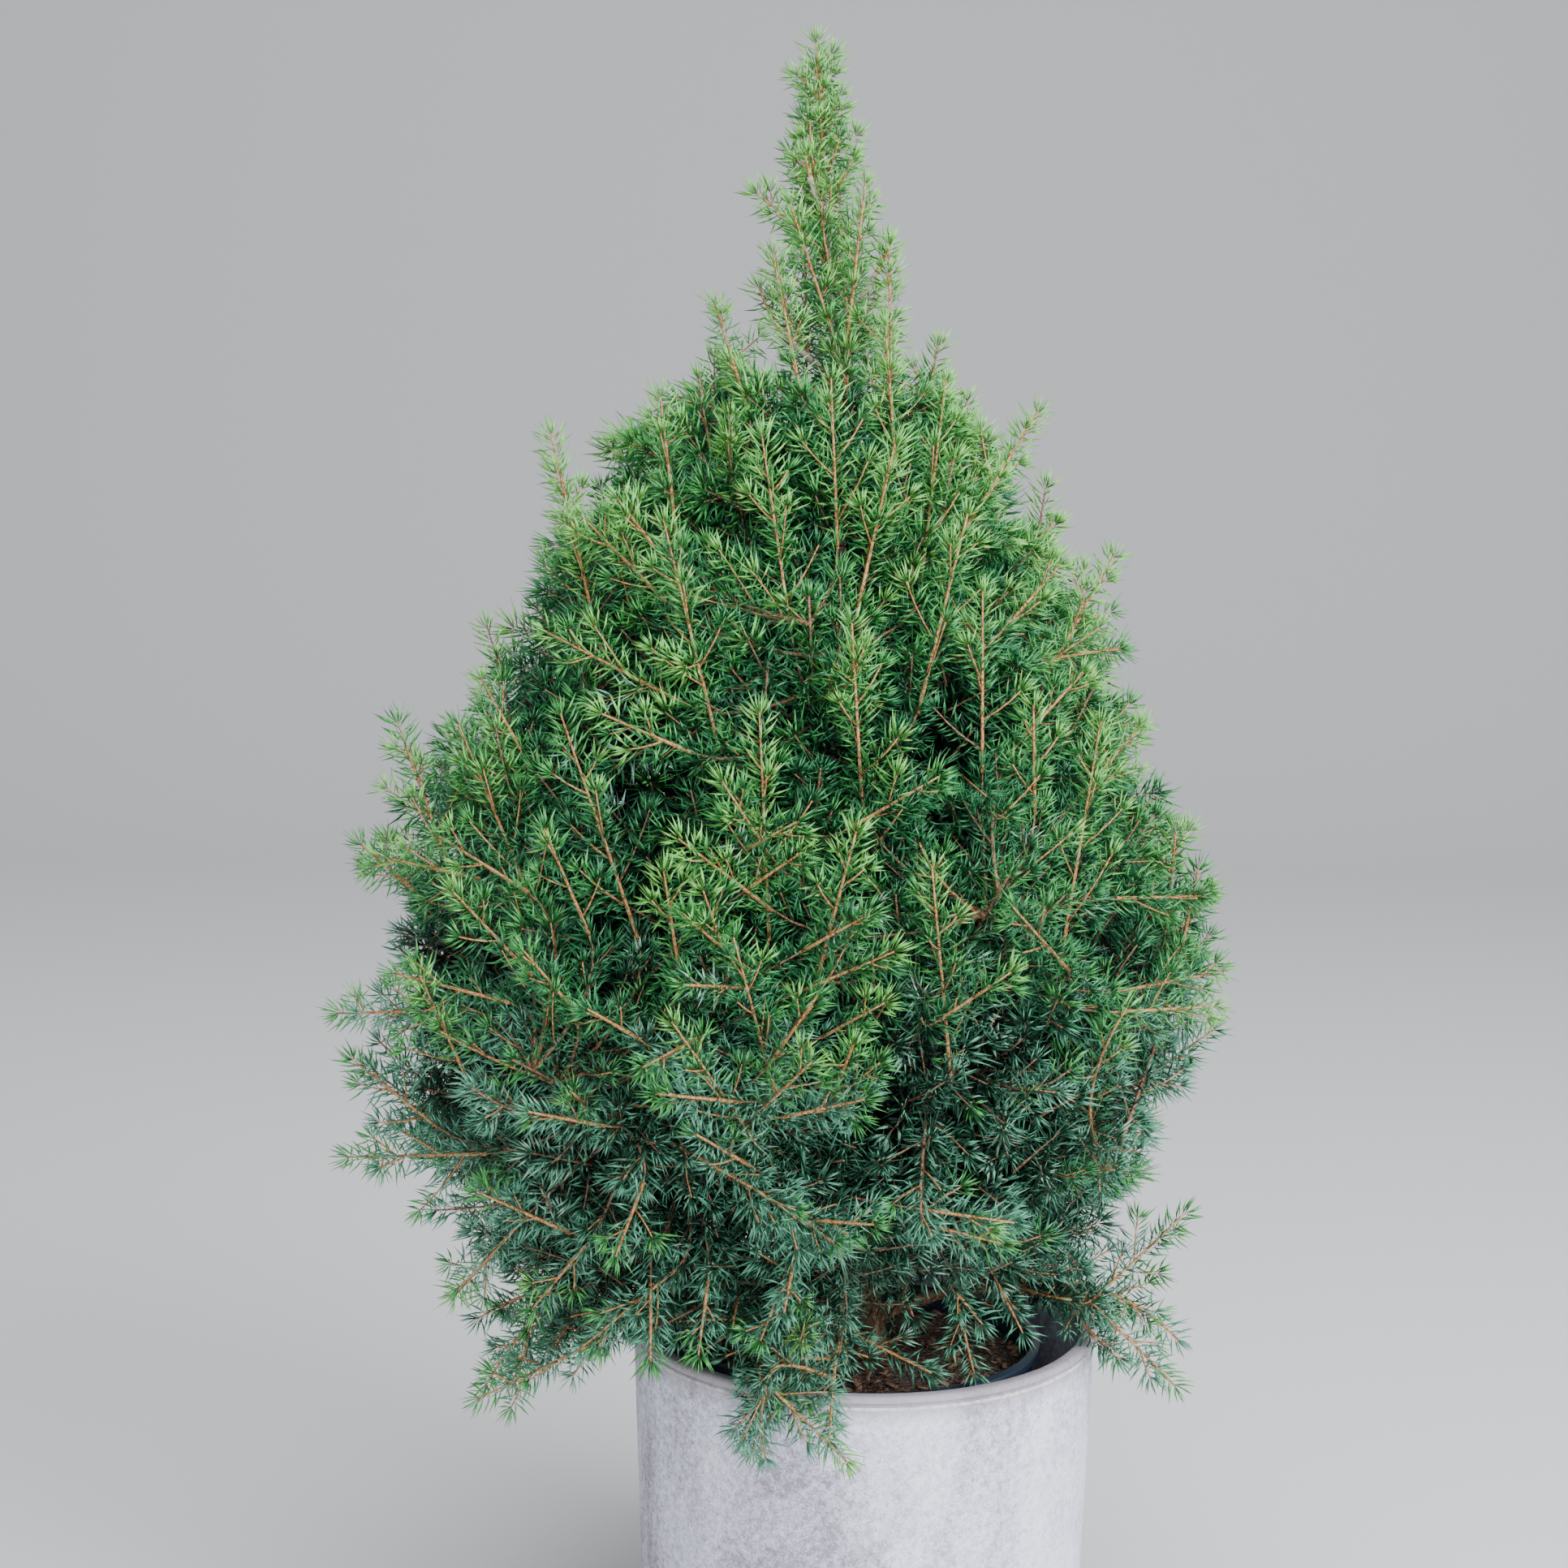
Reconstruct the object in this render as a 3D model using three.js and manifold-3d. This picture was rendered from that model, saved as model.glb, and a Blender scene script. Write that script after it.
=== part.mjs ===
// A potted dwarf Alberta spruce: a clay pot on its saucer, a nursery pot of soil inside it, a leaning
// trunk, main boughs, and one mass of needled sprays at the end of each bough.
// Millimetres, +Z up. The origin is on the pot's axis, on the ground under the saucer.
import * as THREE from "three";
import { mergeVertices } from "three/addons/utils/BufferGeometryUtils.js";
import Module from "manifold-3d";

// Clearance between pieces that touch
const GAP = 0.3;

// Clay pot and saucer
const POT_HEIGHT = 211;
const POT_RIM_R = 130;
const POT_FOOT_R = 122.5;
const POT_WALL = 9;
const POT_FLOOR = 12;
const RIM_BAND = 8;
const RIM_GROOVE = 1.3;
const RIM_ROUND = 3;
const SAUCER_FLOOR = 8;
const SAUCER_HEIGHT = 34;
const SAUCER_LIP_R = 140;
const SAUCER_LIP_INNER_R = 126.5;
const SAUCER_FOOT_R = 121;
const ROUND_STEPS = 40;

// Nursery pot of thin black plastic, and the soil in it
const LINER_TOP = 201;
const LINER_RIM_R = 100;
const LINER_FOOT_R = 86;
const LINER_WALL = 1.6;
const LINER_RIM_LIP = 4;
const SOIL_TOP = 190;
const SOIL_DOME = 3;

// Trunk
const TRUNK_TOP = 852;
const TRUNK_FOOT_R = 8.5;
const TRUNK_TIP_R = 1.4;
const ROOT_FLARE = 4;
const FLARE_HEIGHT = 22;
const FOOT_X = 4;
const LEAN_X = -39;
const LEAN_SPAN = 717;
const TRUNK_SWAY = 2.5;

// Crown: the reach of the tips from the trunk at each height, and how far the crown leans to -X
const CROWN_HEIGHTS = [160, 250, 310, 360, 410, 460, 520, 590, 650, 700, 750, 800, 860];
const CROWN_REACH = [196, 192, 214, 240, 252, 241, 216, 176, 146, 116, 66, 43, 26];
const SIDE_BIAS_LOW = 0.3;
const SIDE_BIAS_HIGH = 0.1;
const SIDE_AZIMUTH = Math.PI;

// Boughs, counted from the lowest
const MAIN_BOUGHS = 19;
const LOW_TIP = 268;
const HIGH_TIP = 772;
const TOP_CROWDING = 0.08;
const LOW_ATTACH = 214;
const HIGH_ATTACH = 610;
const ATTACH_POWER = 2.4;
const FIRST_AZIMUTH = 0.75;
const GOLDEN_ANGLE = 2.39996;
const DROOP_ANGLE = 100;
const UPRIGHT_ANGLE = 10;
const BEND_SHARE = 0.55;
const BOUGH_SHARE = 0.3;
const BOUGH_FOOT_R = 4.6;
const BOUGH_TIP_R = 2.4;
const UPPER_SHOOTS = 7;
const UPPER_LOW_ATTACH = 652;
const UPPER_STEP = 28;
const UPPER_LENGTH = 104;
const UPPER_LEAN = 40;
const UPPER_END_SHARE = 0.44;

// Masses of needles: a core round the stem, and the sprays that stand out of it
const CORE_R = 92;
const SLIGHT_CORE_R = 27;
const CORE_START = 0.34;
const CORE_END = 0.95;
const CORE_INSET = 13;
const CORE_RUFFLE = 0.16;
const CORE_SIDES = 7;
const CORE_STEPS = 5;
const TWIGS = 7;
const SLIGHT_TWIGS = 3;
const TWIG_SPREAD = 0.66;
const TWIG_LENGTH = 62;
const TWIG_SINK = 13;
const TWIG_LIFT = 0.35;
const BOUGH_TIP = 40;
const LEADER_TIP = 48;
const SPRAY_R = 10.5;
const SPRAY_STEM_R = 2.8;
const SPRAY_WHORLS = 3;
const SPACE_MARGIN = 2.4;
const SEED = 4100;

const COLOURS = { clay: "#a89f9b", plastic: "#1d2127", soil: "#33261e", bark: "#7d5a40", needle: "#3f7a4a" };

const wasm = await Module();
wasm.setup();

/** Park and Miller's generator, the same numbers each time for one seed. */
function seeded(seed) {
  let state = seed;
  return () => {
    state = (state * 48271) % 2147483647;
    return state / 2147483647;
  };
}

const vec = (x, y, z) => new THREE.Vector3(x, y, z);
const lerp = THREE.MathUtils.lerp;
const radians = THREE.MathUtils.degToRad;

/** A finish with one colour. */
function finish(colour, roughness) {
  return new THREE.MeshStandardMaterial({ color: colour, roughness, metalness: 0 });
}

/** A closed shape turned about the Z axis from [radius, height] pairs, which start and end on it. */
function turned(profile, steps = ROUND_STEPS) {
  const points = profile.map(([radius, height]) => new THREE.Vector2(radius, height));
  return new THREE.LatheGeometry(points, steps).rotateX(Math.PI / 2);
}

/** A quarter round of an edge, from one angle to another in degrees, about [radius, height]. */
function rounded(centre, size, from, to, steps = 2) {
  return Array.from({ length: steps + 1 }, (_, k) => {
    const angle = radians(lerp(from, to, k / steps));
    return [centre[0] + size * Math.cos(angle), centre[1] + size * Math.sin(angle)];
  });
}

/** The clay pot: a slightly tapered wall, a groove under its rim band, and a rounded rim. */
function clayPot() {
  const foot = SAUCER_FLOOR + GAP;
  const groove = POT_HEIGHT - RIM_BAND;
  const underBand = POT_RIM_R - 0.6;
  const inside = POT_RIM_R - POT_WALL;
  return turned([
    [0, foot],
    [POT_FOOT_R - 2.5, foot],
    [POT_FOOT_R, foot + 2.5],
    [underBand, groove - 3],
    [underBand - RIM_GROOVE, groove - 1],
    [POT_RIM_R, groove + 0.6],
    ...rounded([POT_RIM_R - RIM_ROUND, POT_HEIGHT - RIM_ROUND], RIM_ROUND, 0, 90),
    ...rounded([inside + RIM_ROUND, POT_HEIGHT - RIM_ROUND], RIM_ROUND, 90, 180),
    [POT_FOOT_R - POT_WALL, foot + POT_FLOOR],
    [0, foot + POT_FLOOR],
  ]);
}

/** The saucer: a dish with a thick rounded lip, a step under the lip, and a flat foot. */
function saucer() {
  const lip = 6;
  return turned([
    [0, 0],
    [SAUCER_FOOT_R - 2, 0],
    [SAUCER_FOOT_R, 2],
    [SAUCER_FOOT_R + 3, 5],
    [SAUCER_FOOT_R + 9.5, 9],
    [SAUCER_LIP_R - 7, 17],
    [SAUCER_LIP_R - 5.5, 22],
    ...rounded([SAUCER_LIP_R - lip, SAUCER_HEIGHT - lip], lip, -30, 90, 3),
    ...rounded([SAUCER_LIP_INNER_R + 4, SAUCER_HEIGHT - 4], 4, 90, 180),
    [SAUCER_LIP_INNER_R - 1, SAUCER_FLOOR + 3],
    [SAUCER_LIP_INNER_R - 2.5, SAUCER_FLOOR],
    [0, SAUCER_FLOOR],
  ]);
}

/** The whole space of the pot and its saucer, which the masses stay out of. */
function potSpace() {
  return turned([
    [0, 0],
    [SAUCER_LIP_R + 1, 0],
    [SAUCER_LIP_R + 1, SAUCER_HEIGHT + 1],
    [POT_RIM_R + 1, SAUCER_HEIGHT + 1],
    [POT_RIM_R + 1, POT_HEIGHT + 1],
    [0, POT_HEIGHT + 1],
  ]);
}

const LINER_FOOT = SAUCER_FLOOR + GAP + POT_FLOOR + GAP;

/** The nursery pot's outer radius below its lip at a height. */
function linerRadius(height) {
  return lerp(LINER_FOOT_R, LINER_RIM_R - LINER_RIM_LIP, (height - LINER_FOOT) / (LINER_TOP - LINER_FOOT));
}

/** The nursery pot: a thin tapered shell with a lip turned outwards. */
function nurseryPot() {
  const lipUnder = LINER_TOP - 6;
  const inside = (height) => linerRadius(height) - LINER_WALL;
  return turned([
    [0, LINER_FOOT],
    [LINER_FOOT_R, LINER_FOOT],
    [linerRadius(lipUnder), lipUnder],
    [LINER_RIM_R, lipUnder + 1.5],
    [LINER_RIM_R, LINER_TOP - 1],
    [LINER_RIM_R - 1.5, LINER_TOP],
    [inside(LINER_TOP), LINER_TOP],
    [inside(LINER_FOOT + LINER_WALL), LINER_FOOT + LINER_WALL],
    [0, LINER_FOOT + LINER_WALL],
  ], 40);
}

/** The soil that fills the nursery pot, flat at the trunk and falling to its edge. */
function pottingSoil() {
  const foot = LINER_FOOT + LINER_WALL + GAP;
  const edge = SOIL_TOP - SOIL_DOME;
  const side = (height) => linerRadius(height) - LINER_WALL - GAP - 0.2;
  return turned([
    [0, foot],
    [side(foot), foot],
    [side(edge), edge],
    [side(edge) * 0.6, SOIL_TOP],
    [0, SOIL_TOP],
  ], 40);
}

/** The trunk's axis at a height: it leans to -X with a slight sway. */
function trunkAt(height) {
  const share = (height - SOIL_TOP) / LEAN_SPAN;
  return vec(FOOT_X + LEAN_X * share - TRUNK_SWAY * Math.sin(share * Math.PI * 2), TRUNK_SWAY * Math.sin(share * 5), height);
}

/** The trunk's radius at a height, with its root flare. */
function trunkRadius(height) {
  const share = (height - SOIL_TOP) / (TRUNK_TOP - SOIL_TOP);
  const flare = ROOT_FLARE * Math.exp((SOIL_TOP - height) / FLARE_HEIGHT * 2);
  return lerp(TRUNK_FOOT_R, TRUNK_TIP_R, Math.pow(share, 0.8)) + flare;
}

/** How far the tips reach from the trunk at a height, towards an azimuth. */
function crownReach(height, azimuth) {
  const last = CROWN_HEIGHTS.length - 1;
  let k = CROWN_HEIGHTS.findIndex((top) => top > height) - 1;
  if (k < 0) k = height < CROWN_HEIGHTS[0] ? 0 : last - 1;
  const share = THREE.MathUtils.clamp((height - CROWN_HEIGHTS[k]) / (CROWN_HEIGHTS[k + 1] - CROWN_HEIGHTS[k]), 0, 1);
  const up = THREE.MathUtils.clamp((height - CROWN_HEIGHTS[0]) / (CROWN_HEIGHTS[last] - CROWN_HEIGHTS[0]), 0, 1);
  const bias = lerp(SIDE_BIAS_LOW, SIDE_BIAS_HIGH, Math.sqrt(up));
  return lerp(CROWN_REACH[k], CROWN_REACH[k + 1], share) * (1 + bias * Math.cos(azimuth - SIDE_AZIMUTH));
}

/** A direction leaning from vertical by an angle, towards an azimuth. */
function leaning(angle, azimuth) {
  return vec(Math.sin(angle) * Math.cos(azimuth), Math.sin(angle) * Math.sin(azimuth), Math.cos(angle));
}

/** A bough's line from the trunk to its tip: a quadratic curve that ends along its tip's lean. */
function boughLine(attach, tip, tipAngle, azimuth) {
  const foot = trunkAt(attach);
  const back = foot.distanceTo(tip) * BEND_SHARE;
  return new THREE.QuadraticBezierCurve3(foot, tip.clone().addScaledVector(leaning(tipAngle, azimuth), -back), tip);
}

/** A main bough, counted from the lowest: where it leaves the trunk, its tip, and its line. */
function mainBough(index) {
  const draw = seeded(SEED + index * 17);
  const up = (index + 0.5) / MAIN_BOUGHS;
  const tipHeight = lerp(LOW_TIP, HIGH_TIP, up + TOP_CROWDING * Math.sin(up * Math.PI)) + (draw() - 0.5) * 24;
  const azimuth = FIRST_AZIMUTH + index * GOLDEN_ANGLE + (draw() - 0.5) * 0.35;
  const attach = lerp(LOW_ATTACH, HIGH_ATTACH, up ** ATTACH_POWER) + (draw() - 0.5) * 6;
  const tipAngle = radians(lerp(UPRIGHT_ANGLE, DROOP_ANGLE, (1 - up) ** 1.8) + (draw() - 0.5) * 12);
  const reach = crownReach(tipHeight, azimuth) * lerp(0.92, 1, draw());
  const centre = trunkAt(tipHeight);
  const tip = vec(centre.x + reach * Math.cos(azimuth), centre.y + reach * Math.sin(azimuth), tipHeight);
  return { name: String(index + 1).padStart(2, "0"), azimuth, draw, line: boughLine(attach, tip, tipAngle, azimuth) };
}

/** A low bough that passes over the pot's rim and hangs outside it. */
function lowBough({ name, azimuth, attach, arch, archHeight, reach, tipHeight, seed }) {
  const foot = trunkAt(attach);
  const out = (distance, height) => vec(distance * Math.cos(azimuth), distance * Math.sin(azimuth), height);
  const line = new THREE.QuadraticBezierCurve3(foot, out(arch, archHeight), out(reach, tipHeight));
  return { name, azimuth, draw: seeded(seed), line, low: true };
}

const LOW_BOUGHS = [
  { name: "low_left", azimuth: radians(186), attach: 206, arch: 150, archHeight: 292, reach: 212, tipHeight: 176, seed: 71 },
  { name: "low_right", azimuth: radians(-9), attach: 209, arch: 118, archHeight: 268, reach: 176, tipHeight: 208, seed: 72 },
  { name: "low_front", azimuth: radians(-98), attach: 204, arch: 128, archHeight: 286, reach: 156, tipHeight: 196, seed: 73 },
];

/** A short upper shoot that grows straight from the trunk below the leader. */
function upperShoot(index) {
  const draw = seeded(SEED + 900 + index * 17);
  const attach = UPPER_LOW_ATTACH + index * UPPER_STEP;
  const azimuth = FIRST_AZIMUTH + (MAIN_BOUGHS + index) * GOLDEN_ANGLE;
  const scale = lerp(1, UPPER_END_SHARE, index / (UPPER_SHOOTS - 1));
  const away = leaning(radians(UPPER_LEAN * lerp(0.75, 1, scale)), azimuth).multiplyScalar(UPPER_LENGTH * scale);
  const line = boughLine(attach, trunkAt(attach).add(away), radians(UPRIGHT_ANGLE), azimuth);
  return { name: `top_${index + 1}`, azimuth, draw, line, scale, short: true };
}

/** The level direction square to a bough's azimuth. */
function acrossOf(bough) {
  return vec(-Math.sin(bough.azimuth), Math.cos(bough.azimuth), 0);
}

/** Bends a capped cylinder along a curve: its radius depends on the share along it and the angle round it. */
function limb(curve, across, radiusAt, sides, steps, twist = 0) {
  const shape = new THREE.CylinderGeometry(1, 1, 1, sides, steps);
  const position = shape.getAttribute("position");
  for (let k = 0; k < position.count; k++) {
    const share = THREE.MathUtils.clamp(0.5 - position.getY(k), 0, 1);
    const step = Math.round(share * steps);
    const onAxis = Math.hypot(position.getX(k), position.getZ(k)) < 0.5;
    const round = Math.atan2(position.getZ(k), position.getX(k));
    const angle = round + step * twist;
    const side = (Math.round((round / (Math.PI * 2)) * sides) + sides) % sides;
    const centre = curve.getPoint(share);
    const along = curve.getTangent(share);
    const level = across.clone().addScaledVector(along, -across.dot(along)).normalize();
    const other = along.clone().cross(level);
    const way = level.multiplyScalar(Math.cos(angle)).addScaledVector(other, Math.sin(angle));
    const radius = onAxis ? 0 : radiusAt(share, centre, way, step, side);
    const point = centre.addScaledVector(way, radius);
    position.setXYZ(k, point.x, point.y, point.z);
  }
  return shape;
}

/** A geometry as a solid, facing outwards. */
function solid(geometry) {
  const bare = new THREE.BufferGeometry().setAttribute("position", geometry.getAttribute("position").clone());
  const merged = mergeVertices(geometry.index ? bare.setIndex(geometry.index.clone()) : bare, 1e-3);
  const mesh = new wasm.Mesh({
    numProp: 3,
    vertProperties: merged.getAttribute("position").array,
    triVerts: new Uint32Array(merged.index.array),
  });
  const made = new wasm.Manifold(mesh);
  if (made.volume() > 0) return made;
  for (let k = 0; k < mesh.triVerts.length; k += 3) {
    [mesh.triVerts[k + 1], mesh.triVerts[k + 2]] = [mesh.triVerts[k + 2], mesh.triVerts[k + 1]];
  }
  return new wasm.Manifold(mesh);
}

/** Takes one solid's place with another made from it, and frees the first. */
function traded(old, made) {
  made.numTri();
  old.delete();
  return made;
}

/** A solid with its bounding box, for a quick test of which solids come near each other. */
function boxed(body) {
  const { min, max } = body.boundingBox();
  return { body, box: new THREE.Box3(vec(...min), vec(...max)) };
}

/** The solids whose boxes meet a solid's box. */
function near(entry, others) {
  return others.filter((other) => other.box.intersectsBox(entry.box));
}

/** A solid's largest body as a geometry. */
function shapeOf(whole) {
  const largest = whole.decompose().reduce((a, b) => (b.volume() > a.volume() ? b : a));
  const mesh = largest.getMesh();
  return new THREE.BufferGeometry()
    .setAttribute("position", new THREE.BufferAttribute(new Float32Array(mesh.vertProperties), 3))
    .setIndex(new THREE.BufferAttribute(new Uint32Array(mesh.triVerts), 1));
}

/** The stretch of a line between two shares of its length, as a curve of its own. */
function stretch(line, from, to, steps = 8) {
  return new THREE.CatmullRomCurve3(
    Array.from({ length: steps + 1 }, (_, k) => line.getPointAt(lerp(from, to, k / steps))),
  );
}

/** The trunk from its flat cut on the soil to its tip, or a stouter copy of it to cut others clear. */
function trunk(extra = 0) {
  const steps = 18;
  const foot = SOIL_TOP + GAP - extra;
  // Closer steps near the ground, where the root flare is
  const heights = Array.from({ length: steps + 1 }, (_, k) => lerp(foot, TRUNK_TOP, (k / steps) ** 1.4));
  const shape = new THREE.CylinderGeometry(1, 1, 1, 10, steps);
  const position = shape.getAttribute("position");
  for (let k = 0; k < position.count; k++) {
    const height = heights[Math.round((position.getY(k) + 0.5) * steps)];
    const centre = trunkAt(height);
    const radius = trunkRadius(height) + extra;
    const ribbed = 1 + 0.12 * Math.exp((foot - height) / FLARE_HEIGHT) * Math.cos(Math.atan2(position.getZ(k), position.getX(k)) * 5);
    position.setXYZ(k, centre.x + position.getX(k) * radius * ribbed, centre.y - position.getZ(k) * radius * ribbed, height);
  }
  return shape;
}

/** Points along a curve, used to tell which mass a place belongs to. */
function samples(curve, count) {
  return curve.getPoints(count);
}

/** The distance from a point to a run of points joined by straight lines. */
function distanceTo(run, point) {
  const nearest = vec(0, 0, 0);
  let best = Infinity;
  for (let k = 1; k < run.length; k++) {
    new THREE.Line3(run[k - 1], run[k]).closestPointToPoint(point, true, nearest);
    best = Math.min(best, nearest.distanceTo(point));
  }
  return best;
}

const boughs = [
  ...Array.from({ length: MAIN_BOUGHS }, (_, k) => mainBough(k)),
  ...LOW_BOUGHS.map(lowBough),
  ...Array.from({ length: UPPER_SHOOTS }, (_, k) => upperShoot(k)),
];
const leaderLine = new THREE.CatmullRomCurve3([trunkAt(TRUNK_TOP + GAP), trunkAt(TRUNK_TOP + 26), trunkAt(TRUNK_TOP + 52)]);
boughs.push({ name: "leader", azimuth: 0, draw: seeded(SEED + 2000), line: leaderLine, leader: true });
boughs.forEach((bough) => {
  // A short shoot's mass starts at the trunk and is cut clear of it, a bough's where its bare limb ends
  bough.entry = bough.short || bough.leader ? 0 : BOUGH_SHARE;
  bough.run = samples(stretch(bough.line, bough.entry, 1), 10);
});
const trunkRun = Array.from({ length: 25 }, (_, k) => trunkAt(lerp(SOIL_TOP, TRUNK_TOP, k / 24)));

/** Whether a point is inside a mass's own space: nearest to its own line, clear of limbs, pot and soil. */
function isOwnSpace(bough, point) {
  const own = distanceTo(bough.run, point);
  if (Math.hypot(point.x, point.y) < POT_RIM_R + 3 && point.z < POT_HEIGHT + 2) return false;
  if (!bough.leader && distanceTo(trunkRun, point) < trunkRadius(Math.min(point.z, TRUNK_TOP)) + 1) return false;
  if (bough.leader && point.z < TRUNK_TOP + GAP - 0.01) return false;
  return boughs.every((other) => {
    if (other === bough) return true;
    if (other.limbRun && distanceTo(other.limbRun, point) < BOUGH_FOOT_R + 1) return false;
    return distanceTo(other.run, point) > own + SPACE_MARGIN;
  });
}

/** Whether a point lies within the crown's outline, drawn in by an inset. */
function isInCrown(point, inset) {
  const centre = trunkAt(point.z);
  const out = vec(point.x - centre.x, point.y - centre.y, 0);
  return out.length() < crownReach(point.z, Math.atan2(out.y, out.x)) - inset;
}

/** The core's radius at a share of its length, towards one side: what the mass's space and the crown allow. */
function coreRadius(bough, share, centre, way) {
  const full = bough.short ? SLIGHT_CORE_R * bough.scale : CORE_R;
  let radius = full * Math.sqrt(Math.sin(Math.PI * lerp(0.05, 0.97, share))) * lerp(1, 0.72, share);
  const fits = (point) => isOwnSpace(bough, point) && (bough.low || isInCrown(point, CORE_INSET));
  while (radius > 3 && !fits(centre.clone().addScaledVector(way, radius))) radius *= 0.9;
  return radius;
}

/** A bare bough from the trunk's bark to where it enters its mass, or a stouter copy to cut others clear. */
function boughLimb(bough, extra = 0) {
  const curve = stretch(bough.line, 0, BOUGH_SHARE);
  bough.limbRun = samples(curve, 6);
  return solid(limb(curve, acrossOf(bough), (share) => lerp(BOUGH_FOOT_R, BOUGH_TIP_R, share) + extra, 5, 3));
}

/** A spray: a slim three-sided core with whorls of needle points that stand forward out of it. */
function spray({ start, heading, length, whorls = SPRAY_WHORLS, size = SPRAY_R }, across, extra = 0) {
  const steps = whorls * 2 + 1;
  const curve = new THREE.LineCurve3(start, start.clone().addScaledVector(heading, length));
  const radiusAt = (share, centre, way, step) => {
    if (step === 0 || step === steps) return 0;
    return (step % 2 ? SPRAY_STEM_R : size * lerp(1.1, 0.6, share)) + extra;
  };
  return limb(curve, across, radiusAt, 3, steps, 0.9);
}

/** The twigs of a mass: each stands out of its core to one side or outwards, leaning with the stem. */
function twigsOf(bough, across) {
  const slight = bough.short || bough.leader;
  const count = slight ? SLIGHT_TWIGS : TWIGS;
  const scale = bough.leader ? 0.5 : slight ? 0.8 : 1;
  return Array.from({ length: count }, (_, k) => {
    const at = lerp(slight ? 0.3 : 0.46, 0.92, (k + 0.35) / count) + (bough.draw() - 0.5) * 0.06;
    const along = bough.line.getTangentAt(at);
    // Even and odd twigs leave on opposite sides, all of them more or less towards the outside of the crown
    const outer = across.clone().cross(along).multiplyScalar(bough.draw() * 1.6 - 0.2);
    const away = outer.addScaledVector(across, k % 2 ? 1 : -1).normalize();
    const spread = TWIG_SPREAD * lerp(0.75, 1.25, bough.draw());
    const heading = along.clone().multiplyScalar(Math.cos(spread)).addScaledVector(away, Math.sin(spread));
    heading.z += bough.low ? 0 : TWIG_LIFT;
    const centre = bough.line.getPointAt(at);
    const share = (at - CORE_START) / (CORE_END - CORE_START);
    const sunk = slight ? 0 : Math.max(0, coreRadius(bough, share, centre, away) - TWIG_SINK);
    return {
      start: centre.addScaledVector(away, sunk),
      heading: heading.normalize(),
      length: TWIG_LENGTH * scale * lerp(0.8, 1.2, bough.draw()),
      whorls: slight ? SPRAY_WHORLS - 1 : SPRAY_WHORLS,
      size: bough.leader ? SPRAY_R * 0.8 : SPRAY_R,
    };
  });
}

/** Whether a spray's corners lie in the mass's own space past its sunk root, and it meets nothing else. */
function keepsToSpace(bough, geometry, root, others) {
  const position = geometry.getAttribute("position");
  for (let k = 0; k < position.count; k++) {
    const corner = vec(position.getX(k), position.getY(k), position.getZ(k));
    if (corner.distanceTo(root) > TWIG_SINK + 2 && !isOwnSpace(bough, corner)) return false;
  }
  const shape = boxed(solid(geometry));
  return near(shape, others).every((other) => {
    if (other.owner === bough) return true;
    const shared = shape.body.intersect(other.body);
    const volume = shared.volume();
    shared.delete();
    return volume < 1e-6;
  });
}

/** A mass's stem, with its core where it has one, or a stouter copy of them to cut others clear. */
function stemAndCore(bough, extra = 0) {
  const gap = (GAP + 0.05) / bough.line.getLength();
  const slight = bough.short || bough.leader;
  const stem = stretch(bough.line, bough.leader ? 0 : bough.entry + gap, 0.97);
  const stemSize = slight ? 2 : BOUGH_TIP_R;
  const whole = solid(limb(stem, acrossOf(bough), (share) => lerp(stemSize, 1.2, share) + extra, 4, 2));
  if (bough.leader) return whole;
  const middle = stretch(bough.line, CORE_START, CORE_END);
  // Every other corner is drawn in, so that the core looks tufted
  const radiusAt = (share, centre, way, step, side) =>
    coreRadius(bough, share, centre, way) * (1 - ((step + side) % 2 ? CORE_RUFFLE * 2 : 0)) + extra;
  const size = slight ? [4, 3] : [CORE_SIDES, CORE_STEPS];
  return traded(whole, whole.add(solid(limb(middle, acrossOf(bough), radiusAt, ...size))));
}

/** Fuses a mass's sprays on its stem and core, each where it keeps to the mass's space. */
function withSprays(bough, body, taken) {
  const across = acrossOf(bough);
  let whole = body;
  const add = (twig) => {
    // A twig that would leave the mass's space is cut back, and skipped when little would be left
    for (const share of [1, 0.8, 0.62]) {
      const shorter = { ...twig, length: twig.length * share };
      const clear = spray(shorter, across, GAP);
      if (!keepsToSpace(bough, clear, twig.start, taken)) continue;
      taken.push({ ...boxed(solid(clear)), owner: bough });
      whole = traded(whole, whole.add(solid(spray(shorter, across))));
      return;
    }
  };
  const tipLength = bough.leader ? LEADER_TIP : BOUGH_TIP;
  const heading = bough.line.getTangentAt(0.97);
  add({ start: bough.line.getPointAt(bough.leader ? 0.4 : 0.88), heading, length: tipLength });
  twigsOf(bough, across).forEach(add);
  return whole;
}

/** Adds a named piece to the group. */
function place(group, name, geometry, material) {
  const mesh = new THREE.Mesh(geometry, material);
  mesh.name = name;
  group.add(mesh);
}

const spruce = new THREE.Group();
spruce.name = "potted_alberta_spruce";
place(spruce, "saucer", saucer(), finish(COLOURS.clay, 0.9));
place(spruce, "clay_pot", clayPot(), finish(COLOURS.clay, 0.9));
place(spruce, "nursery_pot", nurseryPot(), finish(COLOURS.plastic, 0.45));
place(spruce, "potting_soil", pottingSoil(), finish(COLOURS.soil, 1));
place(spruce, "trunk", trunk(), finish(COLOURS.bark, 0.85));
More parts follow.
